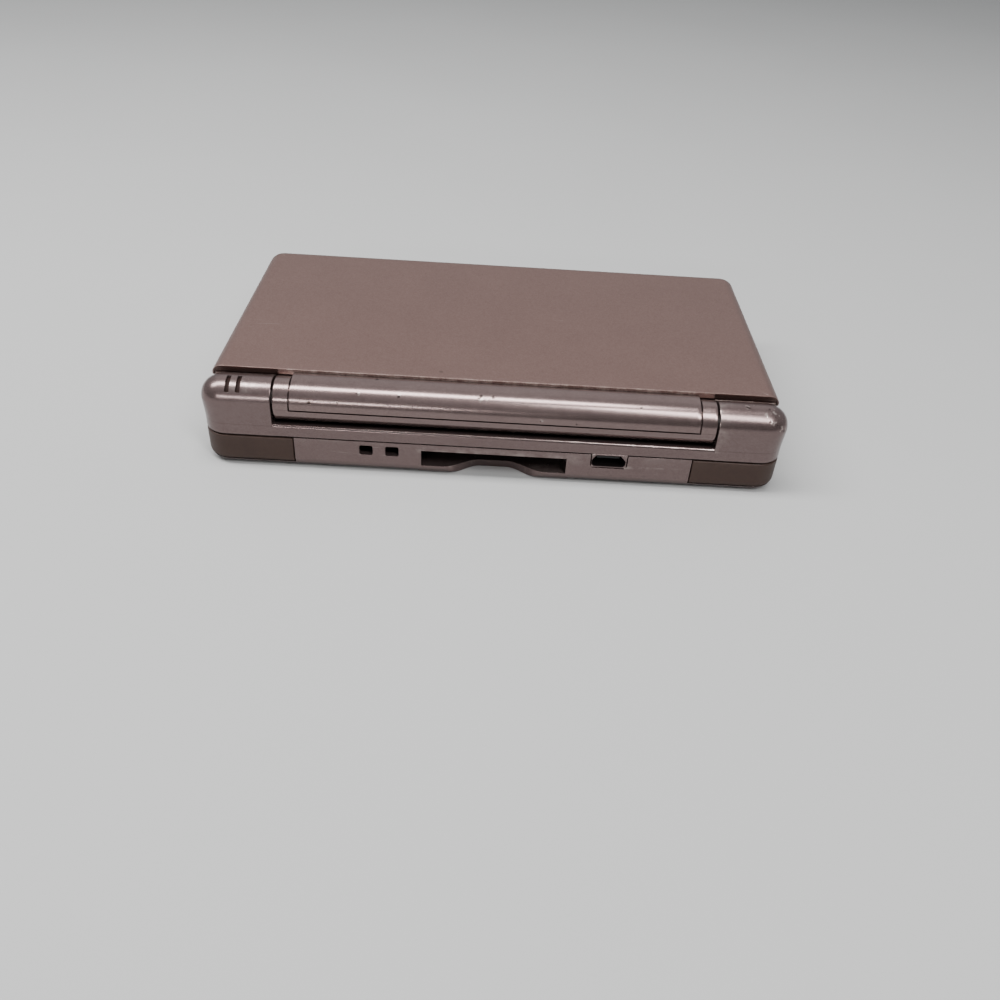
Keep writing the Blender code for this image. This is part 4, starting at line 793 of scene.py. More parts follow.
def makeBarrel():
    # Radius as a function of place along the axis and angle: full at the ends, drawn in under the cover.
    radius, end = hinge["barrelRadius"], hinge["barrelEnd"] - barrel["endGap"]
    inset, rise = roundOff(barrel["endRound"], 4)
    seat = barrel["coverHalf"] + barrel["gap"]
    ends = end - barrel["endRound"] + rise[::-1]
    middle = [-49.0, -seat, -seat + 0.01], np.linspace(-45, 45, 19), [seat - 0.01, seat, 49.0]
    stations = np.concatenate([-ends, *middle, ends[::-1]])
    shrink = np.concatenate([inset[::-1], np.zeros(25), inset])
    start = math.radians(barrel["coverStart"] - barrel["recessBefore"])
    stop = math.radians(barrel["coverEnd"] + barrel["recessAfter"])
    rest = np.linspace(stop + 0.001, start + 2 * np.pi - 0.001, 72)
    turn = np.concatenate([np.linspace(start, stop, 40), rest])
    along, around = np.meshgrid(stations, turn, indexing="ij")
    recess = (np.abs(along) < seat - 0.005) & (around <= stop)
    r = radius - shrink[:, None] - np.where(recess, barrel["recess"], 0)
    rings = np.concatenate([along[:, :, None], aboutHinge(r, around)], axis=2)
    body = solid("hingeBarrel", rings)
    bore = solid("soundBore", lathe(0, 0, [barrel["soundHole"]] * 2, [0, 9], 16))
    turned = Matrix.Rotation(math.radians(barrel["soundAngle"]) - math.pi / 2, 4, "X")
    bore.matrix_world = Matrix.Translation(Vector((0, hinge["y"], hinge["z"])) / 1000) @ turned
    bpy.context.view_layer.update()
    carve(body, [bore])
    return dress(body, "lid", [barrelPaint])


def makeNeck():
    # a bar with rounded edges that joins the frame to the barrel
    outline = sections(neck["front"], neck["rear"], seams["rimLow"], seams["frameTop"], 0.7, 0.5, 0.0, 5)
    profile, half = outline[0][:, :2], neck["half"]
    inside = half - neck["endEdge"]
    rings = alongX(profile, np.array([-half, -inside, inside, half]))
    middle = profile.mean(0)
    for k in (0, 3):
        rings[k, :, 1:] = middle + (rings[k, :, 1:] - middle) * neck["endShare"]
    return dress(solid("hingeNeck", rings), "lid", [housingPaint])


def makeCover():
    # Outer radius by angle and place along: the cover line, eased down at all four edges; inside it is round.
    half, edge = barrel["coverHalf"], barrel["coverEdge"]
    inset, rise = roundOff(edge, 4)
    ends = half - edge + rise
    stations = np.concatenate([edge - half - rise[::-1], [-45.0], np.linspace(-40, 40, 17), [45.0], ends])
    endDrop = np.concatenate([inset[::-1], np.zeros(19), inset])
    perDegree = math.degrees(1 / hinge["barrelRadius"])
    first, last = barrel["coverStart"], barrel["coverEnd"]
    edgeTurn, clear = (edge - rise[::-1]) * perDegree, edge * perDegree + 1.5
    between = np.linspace(first + clear, last - clear, 64)
    turn = np.concatenate([first + edgeTurn, between, last - edgeTurn[::-1]])
    turnDrop = np.concatenate([inset[::-1], np.zeros(64), inset])
    along, around = np.meshgrid(stations, turn, indexing="ij")
    r = coverLine(around) - np.maximum(endDrop[:, None], turnDrop[None])
    outer = np.concatenate([along[:, :, None], aboutHinge(r, np.radians(around))], axis=2)
    along, around = np.meshgrid(stations, turn[::-1][::4], indexing="ij")
    r = hinge["barrelRadius"] - barrel["coverThickness"]
    inner = np.concatenate([along[:, :, None], aboutHinge(r, np.radians(around))], axis=2)
    made = solid("barrelCover", np.concatenate([outer, inner], axis=1))
    return dress(made, "lid", [barrelPaint], ["barrel_cover"])


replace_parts(makeBarrel(), "lid_inner_shell")
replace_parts(makeNeck(), "lid_inner_shell")
makeCover()
print("barrel ready")


deck = {"corner": 5.5, "edgeRound": 0.7, "lowEdge": 0.12, "wall": 1.5, "ceiling": 10.1, "beamFront": 27.55,
        "overPanel": 0.2, "inside": 0.026, "trough": 5.6, "troughHalf": 50.0, "pinHole": 1.9, "pinEnd": 57.4,
        "panelGap": 0.25, "faceHole": 3.6, "menuHole": 2.1, "holeSpan": (8.9, 12.0), "crossSpan": 8.6,
        "crossArm": 3.0, "crossGap": 0.4, "crossRounds": (0.9, 0.35)}
lights = {"slitFrom": 38, "slitTo": 92, "slitHalf": 0.5, "slitOuter": 7, "slitFloor": 3.9, "angleGap": 0.5,
          "sunk": 0.6, "floor": 3.92, "half": 0.47, "edge": 0.07}
# the painted shade arc in the trough: from and to in degrees, then gap, thickness and half length in
# millimetres
troughShadeBand = {"from": 236, "to": 312, "gap": 0.02, "thickness": 0.1, "half": 49.9}
ear = {"inner": 50.175, "innerEdge": 0.2, "roundLong": 5.2, "roundDeep": 4.3, "cornerDeep": 5.5,
       "inside": 0.014}
faceKeys = ("face_button_top", "face_button_right", "face_button_bottom", "face_button_left")


def earRings(side):
    # Upright sections across the ear: a round about the hinge axis on a straight foot. Towards the outer end
    # each shrinks along a quarter ellipse, deeper at the rear wall than on top: from above too it is round.
    outerEnd = nodeSpan("base_cover")[1][0] - ear["inside"]
    radius, seam = hinge["barrelRadius"] - ear["inside"], seams["coverLow"] + 0.005
    turn = np.radians(np.concatenate([np.linspace(0, 180, 61), np.linspace(183, 246, 22)]))
    wallZ = np.array([seam, 9.0, 10.0, 11.0, 11.2, 12.4, 13.6, 14.8])
    wall, overTop = len(wallZ), len(wallZ) + 61
    arc = aboutHinge(radius, turn)
    y = np.concatenate([np.full(wall, hinge["y"] + radius), arc[:, 0]])
    z = np.concatenate([wallZ, arc[:, 1]])
    inwardY = np.concatenate([np.full(wall, -1.0), -np.cos(turn)])
    inwardZ = np.concatenate([np.zeros(wall), -np.sin(turn)])
    low, high = ear["cornerDeep"], ear["roundDeep"]
    blendUp = np.clip((z - 10.5) / 6.0, 0, 1)
    blendUp = blendUp * blendUp * (3 - 2 * blendUp)
    deep = low + (high - low) * blendUp
    deep = np.where(np.arange(len(y)) >= overTop, high * 0.9, deep)
    s = np.sin(np.linspace(0, np.pi / 2, 22))[:, None]
    drop = 1 - np.sqrt(np.maximum(1 - s ** 2, 0))
    longPart = low + (ear["roundLong"] - low) * blendUp
    stations = outerEnd - longPart[None] * (1 - s)
    rings = np.stack([stations, y + inwardY * deep * drop, z + inwardZ * deep * drop], axis=2)
    foot = rings[:, -1:].copy()
    foot[:, :, 1:] = y[-1], seam
    rings = np.concatenate([rings, foot], axis=1)
    inner, edge = ear["inner"], ear["innerEdge"]
    inner = np.array([[inner, edge], [inner + 0.06, 0.06], [inner + edge, 0.0], [55.0, 0.0], [60.0, 0.0]])
    inside = np.repeat(rings[:1], len(inner), axis=0)
    inside[:, :, 0] = inner[:, :1]
    inside[:, :-1, 1] += inwardY * inner[:, 1:]
    inside[:, :-1, 2] += inwardZ * inner[:, 1:]
    rings = np.concatenate([inside, rings])
    if side < 0:
        rings = rings[::-1].copy()
        rings[:, :, 0] *= -1
    return rings


def crossProfile(span, arm, outerRound, innerRound, steps=5):
    # a plus sign whose twelve corners are arcs: eight outer ones and four inner ones
    quarter = np.linspace(0, np.pi / 2, steps + 1)
    end, side = span - outerRound, arm - outerRound
    first = np.stack([end + outerRound * np.cos(quarter - np.pi / 2),
                      -side + outerRound * np.sin(quarter - np.pi / 2)], 1)
    second = np.stack([end + outerRound * np.cos(quarter), side + outerRound * np.sin(quarter)], 1)
    inner = arm + innerRound
    third = np.stack([inner - innerRound * np.sin(quarter), inner - innerRound * np.cos(quarter)], 1)
    arms = np.concatenate([first, second, third])
    around = []
    for angle in np.arange(4) * np.pi / 2:
        c, s = math.cos(angle), math.sin(angle)
        around.append(arms @ np.array([[c, s], [-s, c]]))
    return np.concatenate(around)


def crossRings(centre, sizes, heights):
    rings = []
    for (span, arm, outerRound, innerRound), z in zip(sizes, heights):
        flat = crossProfile(span, arm, outerRound, innerRound) + centre
        rings.append(np.column_stack([flat, np.full(len(flat), z)]))
    return np.array(rings)


def makeBaseCover():
    low, high = nodeSpan("base_cover")
    low, high = low + [deck["inside"], deck["inside"], 0], high - [deck["inside"], deck["inside"], 0]
    panelLow, panelHigh = nodeSpan("touch_panel")
    deckTop, round = panelHigh[2] + deck["overPanel"], deck["edgeRound"]
    inset, rise = roundOff(round, 6)
    z = np.concatenate([low[2] + [0, 0.04, deck["lowEdge"]], deckTop - round + rise, [deckTop]])
    inset = np.concatenate([[deck["lowEdge"], 0.03, 0.0], inset, [round + 0.3]])
    corner, wall = deck["corner"] - inset, deck["wall"]
    outer = sections(low[0] + inset, high[0] - inset, low[1] + inset, high[1] - inset, corner, corner, z, 16)
    inner = sections(low[0] + wall, high[0] - wall, low[1] + wall, deck["beamFront"], 4.0, 1.6,
                     np.array([deck["ceiling"], low[2]]), 16)
    cover = solid("baseCover", np.concatenate([inner, outer]))
    carve(cover, [solid("earLeft", earRings(-1)), solid("earRight", earRings(1))], "UNION")
    turn, half = np.linspace(0, 2 * np.pi, 145)[:-1], deck["troughHalf"]
    tools = [solid("trough", alongX(aboutHinge(deck["trough"], turn), [-half, half]))]
    for x in ((-deck["pinEnd"], -half), (half, deck["pinEnd"])):
        tools.append(solid("pinBore", alongX(aboutHinge(deck["pinHole"], turn[::6]), x)))
    for node in ("power_light", "charge_light"):
        x = nodeCentre(node)[0]
        arcTurn = np.radians(np.linspace(lights["slitFrom"], lights["slitTo"], 19))
        band = hingeBand(lights["slitOuter"], lights["slitFloor"], arcTurn)
        tools.append(solid("lightSlit", alongX(band, [x - lights["slitHalf"], x + lights["slitHalf"]])))
    holes = np.array(deck["holeSpan"])
    gap = deck["panelGap"]
    tools.append(solid("windowHole", sections(panelLow[0] - gap, panelHigh[0] + gap, panelLow[1] - gap,
                                              panelHigh[1] + gap, 1.0, 1.0, holes, 6)))
    grown = (deck["crossSpan"] + deck["crossGap"], deck["crossArm"] + deck["crossGap"], *deck["crossRounds"])
    tools.append(solid("crossHole", crossRings(nodeCentre("direction_pad")[:2], [grown, grown], holes)))
    radii = [deck["faceHole"]] * len(faceKeys) + [deck["menuHole"]] * 2
    for node, radius in zip(faceKeys + ("start_button", "select_button"), radii):
        x, y = nodeCentre(node)[:2]
        tools.append(solid("keyHole", lathe(x, y, [radius, radius], holes, 64)))
    tools.append(stylusTunnel())
    carve(cover, tools)
    return dress(cover, "base", [housingPaint], ["base_cover"], softEdge=0.08)


# rings along the stylus: the distance from its tip, the middle or its end, and the outline's scale there
stylus = {"gap": 0.35, "tunnel": (-22.0, 68.0), "tipLong": 6.0, "tipNarrow": 0.25,
          "tip": ((0, 0.16), (0.25, 0.28), (0.6, 0.36), (2.5, 0.5), (4.5, 0.7), (6.0, 0.9), (6.8, 0.97)),
          "shaft": ((0, 1.0), (30.0, 1.0), (58.0, 1.0), (58.3, 0.93), (58.9, 0.93), (59.2, 1.0)),
          "end": ((-0.6, 1.0), (-0.15, 0.95), (0, 0.82))}


def stylusProfile(grown):
    # a flat band with half-round edges, seen from its end
    low, high = nodeSpan("stylus")
    y, z = nodeCentre("stylus")[1:]
    halfWide, halfHigh = (high[1] - low[1]) / 2 + grown, (high[2] - low[2]) / 2 + grown
    turn = np.linspace(-np.pi / 2, np.pi / 2, 17)
    right = np.stack([y + halfWide - halfHigh + halfHigh * np.cos(turn), z + halfHigh * np.sin(turn)], 1)
    leftSide = np.stack([y - halfWide + halfHigh - halfHigh * np.cos(turn), z - halfHigh * np.sin(turn)], 1)
    return np.concatenate([right, leftSide])


def stylusTunnel():
    return solid("stylusTunnel", alongX(stylusProfile(stylus["gap"]), stylus["tunnel"]))


makeBaseCover()


def makeTroughShade():
    # painted shade: a thin dark arc about the hinge axis, just inside the trough under the barrel, where the
    # gap is unlit
    outer = deck["trough"] - troughShadeBand["gap"]
    turn = np.radians(np.linspace(troughShadeBand["from"], troughShadeBand["to"], 60))
    band = hingeBand(outer, outer - troughShadeBand["thickness"], turn)
    made = solid("troughShade", alongX(band, [-troughShadeBand["half"], troughShadeBand["half"]]))
    dress(made, "base", [paintedShadeBlack])


makeTroughShade()


def makeLights():
    # smoked light pipes, sunk a little below the round of the ear
    gap, half = lights["angleGap"], lights["half"]
    turn = np.radians(np.linspace(lights["slitFrom"] + gap, lights["slitTo"] - gap, 24))
    band = hingeBand(hinge["barrelRadius"] - lights["sunk"], lights["floor"], turn)
    inner = half - lights["edge"]
    for name, node in (("powerLight", "power_light"), ("chargeLight", "charge_light")):
        x = nodeCentre(node)[0]
        rings = alongX(band, [x - half, x - inner, x + inner, x + half])
        dress(solid(name, rings), "base", [smokedLight], [node])


makeLights()
print("base cover ready")


case = {"corner": 5.5, "bottomRound": 2.6, "wall": 1.6, "floor": 1.2, "topEdge": 0.12, "half": 66.5,
        "inside": 0.014, "doorGap": 0.22, "doorCorner": 1.4, "screwRadii": (2.15, 1.9, 1.9),
        "screwHeights": (-0.1, 0.15, 1.9)}
cardSlot = {"low": 2.4, "high": 6.55, "half": 16.75, "sill": 0.8, "scoopDeep": 3.75, "scoopFlat": 3.0,
            "scoopEnd": 12.1, "scoopHalf": 12.2, "scoopLean": 0.105}
strapHoles = {"places": (29.2, 23.25), "low": 4.6, "high": 7.15, "width": 3.1, "round": 0.5}
shoulder = {"inner": 45.6, "outer": 68.0, "front": 30.2, "rear": 39.0, "low": 1.4, "high": 7.875, "gap": 0.27,
            "hollow": (64.0, 34.5, 3.2)}
jack = {"x": 46.0, "z": 4.6, "room": 2.8, "front": -35.0, "collar": (2.3, 2.45, 2.6, 2.6),
        "collarDepths": (-36.75, -36.7, -36.55, -34.0), "plug": (2.05, 1.8, 1.8),
        "plugDepths": (-37.0, -36.45, -28.0)}
# left and right, front and rear, low and high of the openings for the cartridge and the two sliders
caseSlots = (((-28.8, 28.8), (-38.5, -34.5), (1.9, 9.0)), ((-54.85, -44.15), (-38.5, -34.9), (3.35, 5.85)),
             ((64.4, 68.0), (7.15, 16.35), (3.35, 5.85)))
# the socket's outline, then the corners (z, x) of its opening, its face and the tongue inside
socket = {"left": -31.0, "right": -22.4, "low": 4.55, "high": 8.6, "corner": 1.0, "middle": (6.55, -26.6),
          "opening": ((5.05, -23.3), (5.6, -22.75), (6.7, -22.75), (8.05, -23.7), (8.05, -29.2),
                      (6.7, -30.45), (5.6, -30.45), (5.05, -30.0)),
          "faceLow": (4.78, -30.78), "faceHigh": (8.38, -22.62),
          "tongue": (-29.4, -23.8, 31.2, 35.3, 0.4, 0.4), "tongueHeights": (6.35, 6.4, 6.75, 6.8)}


def caseRings(grown=0.0, high=seams["caseTop"]):
    # rounded rectangles that draw in along a quarter round towards the underside
    boxLow, boxHigh = nodeSpan("base_cover")
    round, edge = case["bottomRound"], case["topEdge"]
    inset, rise = roundOff(round, 12)
    wall = np.linspace(3.0, high - edge, 3)
    z = np.concatenate([[0.0, 0.0], round - rise[::-1][1:], wall, [high - 0.03, high]])
    inset = np.concatenate([[round + 0.4, round], inset[::-1][1:], np.zeros(3), [0.04, edge]]) - grown
    return sections(boxLow[0] + inset, boxHigh[0] - inset, boxLow[1] + inset, boxHigh[1] - inset,
                    case["corner"] - inset, case["corner"] - inset, z, 16)


def scoopProfile(x):
    # how deep the finger scoop is: full in the middle, then a smooth step out to nothing
    flat, end = cardSlot["scoopFlat"], cardSlot["scoopEnd"]
    share = np.clip((np.abs(x) - flat) / (end - flat), 0, 1)
    return cardSlot["scoopDeep"] * (1 - share * share * (3 - 2 * share))


def sideBox(side, margin):
    # the room for a shoulder button in the case's corner, or with a margin the button's own box
    x = sorted((side * (shoulder["inner"] + margin), side * shoulder["outer"]))
    top = shoulder["high"] if margin else seams["caseTop"] + 1.0
    return x, (shoulder["front"] + margin, shoulder["rear"]), (shoulder["low"] + margin, top)


def makeBottomCase():
    rear, wall, half = nodeSpan("base_cover")[1][1], case["wall"], cardSlot["half"]
    inside, corner = case["half"] - wall, case["corner"] - wall
    inner = sections(-inside, inside, -rear + wall, rear - wall, corner, corner,
                     np.array([seams["caseTop"], case["floor"]]), 16)
    shell = solid("bottomCase", np.concatenate([caseRings(-case["inside"]), inner]))
    centre, sill = nodeCentre("card_slot_cage")[0], half + cardSlot["sill"]
    mouth = cardSlot["low"], cardSlot["high"]
    under = block("cardSill", (centre - sill, centre + sill), (30.4, rear - 0.8), (0.6, mouth[0]))
    carve(shell, [under], "UNION")
    tools = [block("cardMouth", (centre - half, centre + half), (30.0, 38.5), mouth)]
    # the scoop's wall leans: its depth grows evenly towards the underside
    end = cardSlot["scoopHalf"]
    x = np.linspace(-end, end, 61)
    scoop = []
    for z in (-1.0, mouth[0] + 0.3):
        deep = scoopProfile(x) * (1 + cardSlot["scoopLean"] * (mouth[0] - z))
        outline = np.concatenate([[[end, rear + 2], [-end, rear + 2]], np.column_stack([x, rear - deep])])
        scoop.append(np.column_stack([outline + [centre, 0], np.full(len(outline), z)]))
    tools.append(solid("fingerScoop", np.array(scoop)))
    tools += [block("shoulderRoom", *sideBox(side, 0)) for side in (-1, 1)]
    tools.append(solid("socketRoom", socketRings([33.0, 38.5])))
    low, high, round = (strapHoles[key] for key in ("low", "high", "round"))
    for x in strapHoles["places"]:
        left, right = x - strapHoles["width"] / 2, x + strapHoles["width"] / 2
        outline = sections(low, high, left, right, round, round, 0, 6)[0][:, :2]
        tools.append(solid("strapHole", alongY(outline, [34.0, 38.5])))
    cartridge, volume, power = caseSlots
    tools.append(block("cartridgeMouth", *cartridge))
    tools.append(solid("jackHole", latheY(jack["x"], jack["z"], [jack["room"]] * 2, [-38.5, -34.5], 48)))
    tools += [block("volumeSlot", *volume), block("powerSlot", *power), stylusTunnel()]
    low, high = nodeSpan("battery_cover")
    gap, corner = case["doorGap"], case["doorCorner"]
    tools.append(solid("doorHole", sections(low[0] - gap, high[0] + gap, low[1] - gap, high[1] + gap,
                                            corner, corner, np.array([-1.0, 1.8]), 8)))
    for name in [f"case_screw_{number}" for number in range(1, 5)] + ["battery_cover_screw"]:
        x, y = nodeCentre(name)[:2]
        tools.append(solid("screwHole", lathe(x, y, case["screwRadii"], case["screwHeights"], 40)))
    carve(shell, tools)
    return dress(shell, "base", [housingPaint], ["bottom_case"], softEdge=0.1)


def socketRings(stations):
    # the charge socket's frame seen from the rear: upright sides, round lower corners, open up to the seam
    left, right, low, top, corner = (socket[key] for key in ("left", "right", "low", "high", "corner"))
    quarter = np.linspace(0, np.pi / 2, 6)
    near, far = corner - corner * np.cos(quarter), corner - corner * np.sin(quarter)
    rightArc, leftArc = np.stack([low + near, right - far], 1), np.stack([low + far, left + near], 1)
    return alongY(np.concatenate([rightArc, [[top, right], [top, left]], leftArc]), stations)


makeBottomCase()
print("bottom case ready")


seamShadeBands = {"inset": (1.3, 0.3, 0.3, 1.3), "lidFront": -36.65, "lidRadii": (4.0, 1.35),
           "lidHeights": (16.76, 17.04), "rearAt": 16.9, "more": 0.02, "caseHalf": 36.95,
           "caseHeights": (8.165, 8.435)}


def makeSeamShadeBands():
    # painted shade: dark bands that fill the two long seams, a little inside the faces above and below
    inset, half = np.array(seamShadeBands["inset"]), seams["lidHalf"]
    front, rear = seamShadeBands["lidRadii"]
    lidBand = sections(-half + inset, half - inset, seamShadeBands["lidFront"] + inset,
                       float(coveRear(seamShadeBands["rearAt"])) - inset, front - inset, rear - inset,
                       np.repeat(seamShadeBands["lidHeights"], 2))
    dress(solid("lidSeamShade", lidBand, closed=True), "lid", [paintedShadeBlack])
    inset = inset + seamShadeBands["more"]
    half, deep, corner = case["half"], seamShadeBands["caseHalf"], case["corner"] - inset
    baseBand = sections(-half + inset, half - inset, -deep + inset, deep - inset, corner, corner,
                        np.repeat(seamShadeBands["caseHeights"], 2))
    dress(solid("caseSeamShade", baseBand, closed=True), "base", [paintedShadeBlack])


makeSeamShadeBands()


def makeShoulderButton(name, node, side):
    # the case's own corner, cut to the button's room, with rubbed edges, lighter also as painted edge
    # highlights
    made = solid(name, caseRings(high=9.5)[:-2])
    carve(made, [block("room", *sideBox(side, shoulder["gap"]))], "INTERSECT")
    x, y, corner = shoulder["hollow"]
    carve(made, [solid("hollow", sections(-x, x, -y, y, corner, corner, np.array([-1.0, 9.0]), 16))])
    return dress(made, node, [shoulderPlastic], [node], softEdge=0.22)


makeShoulderButton("leftShoulderButton", "left_trigger", -1)
makeShoulderButton("rightShoulderButton", "right_trigger", 1)


def makeChargeSocket():
    # A frame flush with the rear wall; its opening has cut-off upper corners and leads into a dark well.
    rear = nodeSpan("base_cover")[1][1]
    corners, middle = np.array(socket["opening"]), np.array(socket["middle"])
    steps = np.linspace(0, 1, 4)[:-1]
    following = np.roll(corners, -1, axis=0)
    hole = (corners[:, None] + (following - corners)[:, None] * steps[None, :, None]).reshape(-1, 2)
    inward = middle - hole
    angle = np.arctan2(-inward[:, 1], -inward[:, 0])
    direction = np.stack([np.cos(angle), np.sin(angle)], 1)
    outer = np.clip(hole + direction * 3.0, socket["faceLow"], socket["faceHigh"])
    well = hole + inward * 0.04
    face, lip = rear - 0.02, rear - 0.12
    rings = np.concatenate([alongY(outer, [30.0, lip]), alongY(outer + (hole - outer) * 0.2, [face]),
                            alongY(hole - inward * 0.02, [face]), alongY(hole, [lip]),
                            alongY(well, [rear - 0.7, 31.0])])
    made = solid("chargeSocket", rings, innerRings=(4, 7))
    # the well behind the opening takes the near-black finish: the socket's black inside, darkened further as
    # painted shade
    dress(made, "base", [housingPaint, paintedShadeBlack], ["charge_socket"])
    tongue = sections(*socket["tongue"], np.array(socket["tongueHeights"]), 4)
    dress(solid("chargeTongue", tongue), "base", [darkPlastic])


def makeJack():
    # a block whose collar shows in the case's front, with the plug's hole through both
    low, high = nodeSpan("headphone_jack")
    x, z = jack["x"], jack["z"]
    heights = np.array([low[2], low[2] + 0.2, high[2] - 0.2, high[2]])
    made = solid("headphoneJack", sections(low[0], high[0], jack["front"], high[1], 0.5, 0.5, heights, 4))
    carve(made, [solid("collar", latheY(x, z, jack["collar"], jack["collarDepths"], 48))], "UNION")
    carve(made, [solid("plugHole", latheY(x, z, jack["plug"], jack["plugDepths"], 48))])
    dress(made, "base", [darkPlastic], ["headphone_jack"])


makeChargeSocket()
makeJack()


def makeSlotCover():
    # block with eased edges, its front flush with the case, a shallow grip groove across it
    low, high = nodeSpan("slot_cover")
    profile = sections(low[2], high[2], low[0], high[0], 0.5, 0.5, 0, 4)[0][:, :2]
    middle = profile.mean(0)
    stations = [low[1] + 0.02, low[1] + 0.06, low[1] + 0.25, high[1]]
    rings = alongY(profile, stations)
    for k, inset in ((0, 0.2), (1, 0.06)):
        rings[k, :, 2] -= np.sign(rings[k, :, 2] - middle[0]) * inset
        rings[k, :, 0] -= np.sign(rings[k, :, 0] - middle[1]) * inset
    made = solid("slotCover", rings)
    wall = 1.2
    carve(made, [block("gripGroove", (-9.0, 9.0), (low[1] - 1, low[1] + 0.45), (3.1, 3.6)),
                 block("hollow", (low[0] + wall, high[0] - wall), (low[1] + wall, high[1] + 1),
                       (low[2] + wall, high[2] - wall))])
    dress(made, "slot_cover", [housingPaint], ["slot_cover"], softEdge=0.08)


def makeBatteryDoor():
    # a flat lid whose outer edge is eased
    low, high = nodeSpan("battery_cover")
    z = np.array([low[2], low[2], low[2] + 0.05, low[2] + 0.18, high[2]])
    inset = np.array([0.5, 0.18, 0.05, 0.0, 0.0])
    rings = sections(low[0] + inset, high[0] - inset, low[1] + inset, high[1] - inset, 1.2, 1.2, z, 8)
    dress(solid("batteryDoor", rings), "base", [housingPaint], ["battery_cover"])


slider = {"heights": (3.7, 5.5), "ribHigh": 0.12, "footDeep": 1.0, "overlap": 0.02}


def makeSlider(name, node, alongFront, start, stop, ribs):
    # The knob's outer face is ribbed: its height is a cosine along the way that it slides. A foot is inside.
    low, high = nodeSpan(node)
    way = np.linspace(start, stop, 41)
    wave = slider["ribHigh"] * (1 - np.cos((way - way[0]) / (way[-1] - way[0]) * 2 * np.pi * ribs)) / 2
    if alongFront:
        back = high[1] - slider["footDeep"]
        profile = np.concatenate([np.column_stack([way, low[1] + wave]), [[stop, back], [start, back]]])
        x, y = (low[0], high[0]), (back - slider["overlap"], high[1])
    else:
        back = low[0] + slider["footDeep"]
        profile = np.concatenate([np.column_stack([high[0] - wave, way]), [[back, stop], [back, start]]])
        x, y = (low[0], back + slider["overlap"]), (low[1], high[1])
    rings = np.stack([np.column_stack([profile, np.full(len(profile), z)]) for z in slider["heights"]])
    made = solid(name, rings)
    carve(made, [block("foot", x, y, (low[2], high[2]))], "UNION")
    dress(made, node, [keyPlastic], [node], softEdge=0.1)


makeSlotCover()
makeBatteryDoor()
makeSlider("volumeSlider", "volume_slider", True, -54.5, -50.5, 5)
makeSlider("powerSlider", "power_slider", False, 7.5, 13.5, 6)


def makeStylus():
    # the stylus outline at each place along, scaled down over the tip and eased at the round end
    low, high = nodeSpan("stylus")
    profile = stylusProfile(0.0)
    middle = profile.mean(0)
    starts = {"tip": low[0], "shaft": 0.0, "end": high[0]}
    rows = [(start + place, scale) for key, start in starts.items() for place, scale in stylus[key]]
    stations, scale = np.array(rows).T
    rings = alongX(profile, stations)
    rings[:, :, 1:] = middle + (rings[:, :, 1:] - middle) * scale[:, None, None]
    nearTip = np.clip((low[0] + stylus["tipLong"] - stations) / stylus["tipLong"], 0, 1)
    rings[:, :, 1] = middle[0] + (rings[:, :, 1] - middle[0]) * (1 - stylus["tipNarrow"] * nearTip[:, None])
    dress(solid("stylusBody", rings), "stylus", [darkPlastic], ["stylus"])


makeStylus()


pad = {"edgeRound": 0.45, "outerRound": 0.6, "innerRound": 0.3, "flat": 0.9, "dip": 0.12, "skirt": 5.0,
       "dishRadii": (0.1, 0.9, 1.5, 1.9), "dishHeights": (-0.25, -0.2, -0.08, 0.05)}
key = {"edgeRound": 0.35, "flange": 0.7, "flangeHigh": 0.28, "crownFrom": 0.5, "crownTo": 0.15,
       "face": (3.3, 0.22), "menu": (1.8, 0.12)}


def makeDirectionPad():
    # crosses stacked up, their edge drawn in along a quarter round; the top dips evenly towards the middle
    low, high = nodeSpan("direction_pad")
    centre, top = nodeCentre("direction_pad")[:2], high[2]
    span, arm, edge = deck["crossSpan"], deck["crossArm"], pad["edgeRound"]
    outer, inner, flat = pad["outerRound"], pad["innerRound"], pad["flat"]
    inset, rise = roundOff(edge, 5)
    sizes = [(span, arm, outer, inner)]
    sizes += [(span - i, arm - i, max(outer - i * 0.8, 0.1), inner + i) for i in inset]
    sizes.append((span - flat, arm - flat, 0.15, 1.2))
    rings = crossRings(centre, sizes, [low[2] + 0.3, *(top - edge + rise), top])
    reach = np.linalg.norm(rings[:, :, :2] - centre, axis=2)
    rings[-1, :, 2] -= pad["dip"] * (1 - reach[-1] / span)
    made = solid("directionPad", rings)
    skirt = lathe(centre[0], centre[1], [pad["skirt"]] * 2, [low[2], low[2] + 0.33], 48)
    dish = lathe(centre[0], centre[1], pad["dishRadii"], top + np.array(pad["dishHeights"]), 40)
    carve(made, [solid("skirt", skirt)], "UNION")
    carve(made, [solid("dish", dish)])
    dress(made, "direction_pad", [keyPlastic], ["direction_pad"])


def makeKey(name, node, radius, crown):
    # turned: a flange under the deck, an upright wall, a round edge, and a crown that falls as the square of
    # the radius
    low, high = nodeSpan(node)
    x, y = nodeCentre(node)[:2]
    edge, rise = roundOff(key["edgeRound"], 5)
    rim, wide = high[2] - crown, radius + key["flange"]
    foot, shoulderHigh = low[2] + key["flangeHigh"], rim - key["edgeRound"]
    outward = np.linspace(radius - key["crownFrom"], key["crownTo"], 7)
    radii = np.concatenate([[wide, wide, radius, radius], radius - edge[1:], outward])
    heights = np.concatenate([[low[2], foot, foot, shoulderHigh], shoulderHigh + rise[1:],
                              rim + crown * (1 - (outward / radius) ** 2)])
    dress(solid(name, lathe(x, y, radii, heights, 64)), node, [keyPlastic], [node])


makeDirectionPad()
for name, node in zip(("topKey", "rightKey", "bottomKey", "leftKey"), faceKeys):
    makeKey(name, node, *key["face"])
makeKey("startKey", "start_button", *key["menu"])
makeKey("selectKey", "select_button", *key["menu"])
print("buttons and small pieces ready")


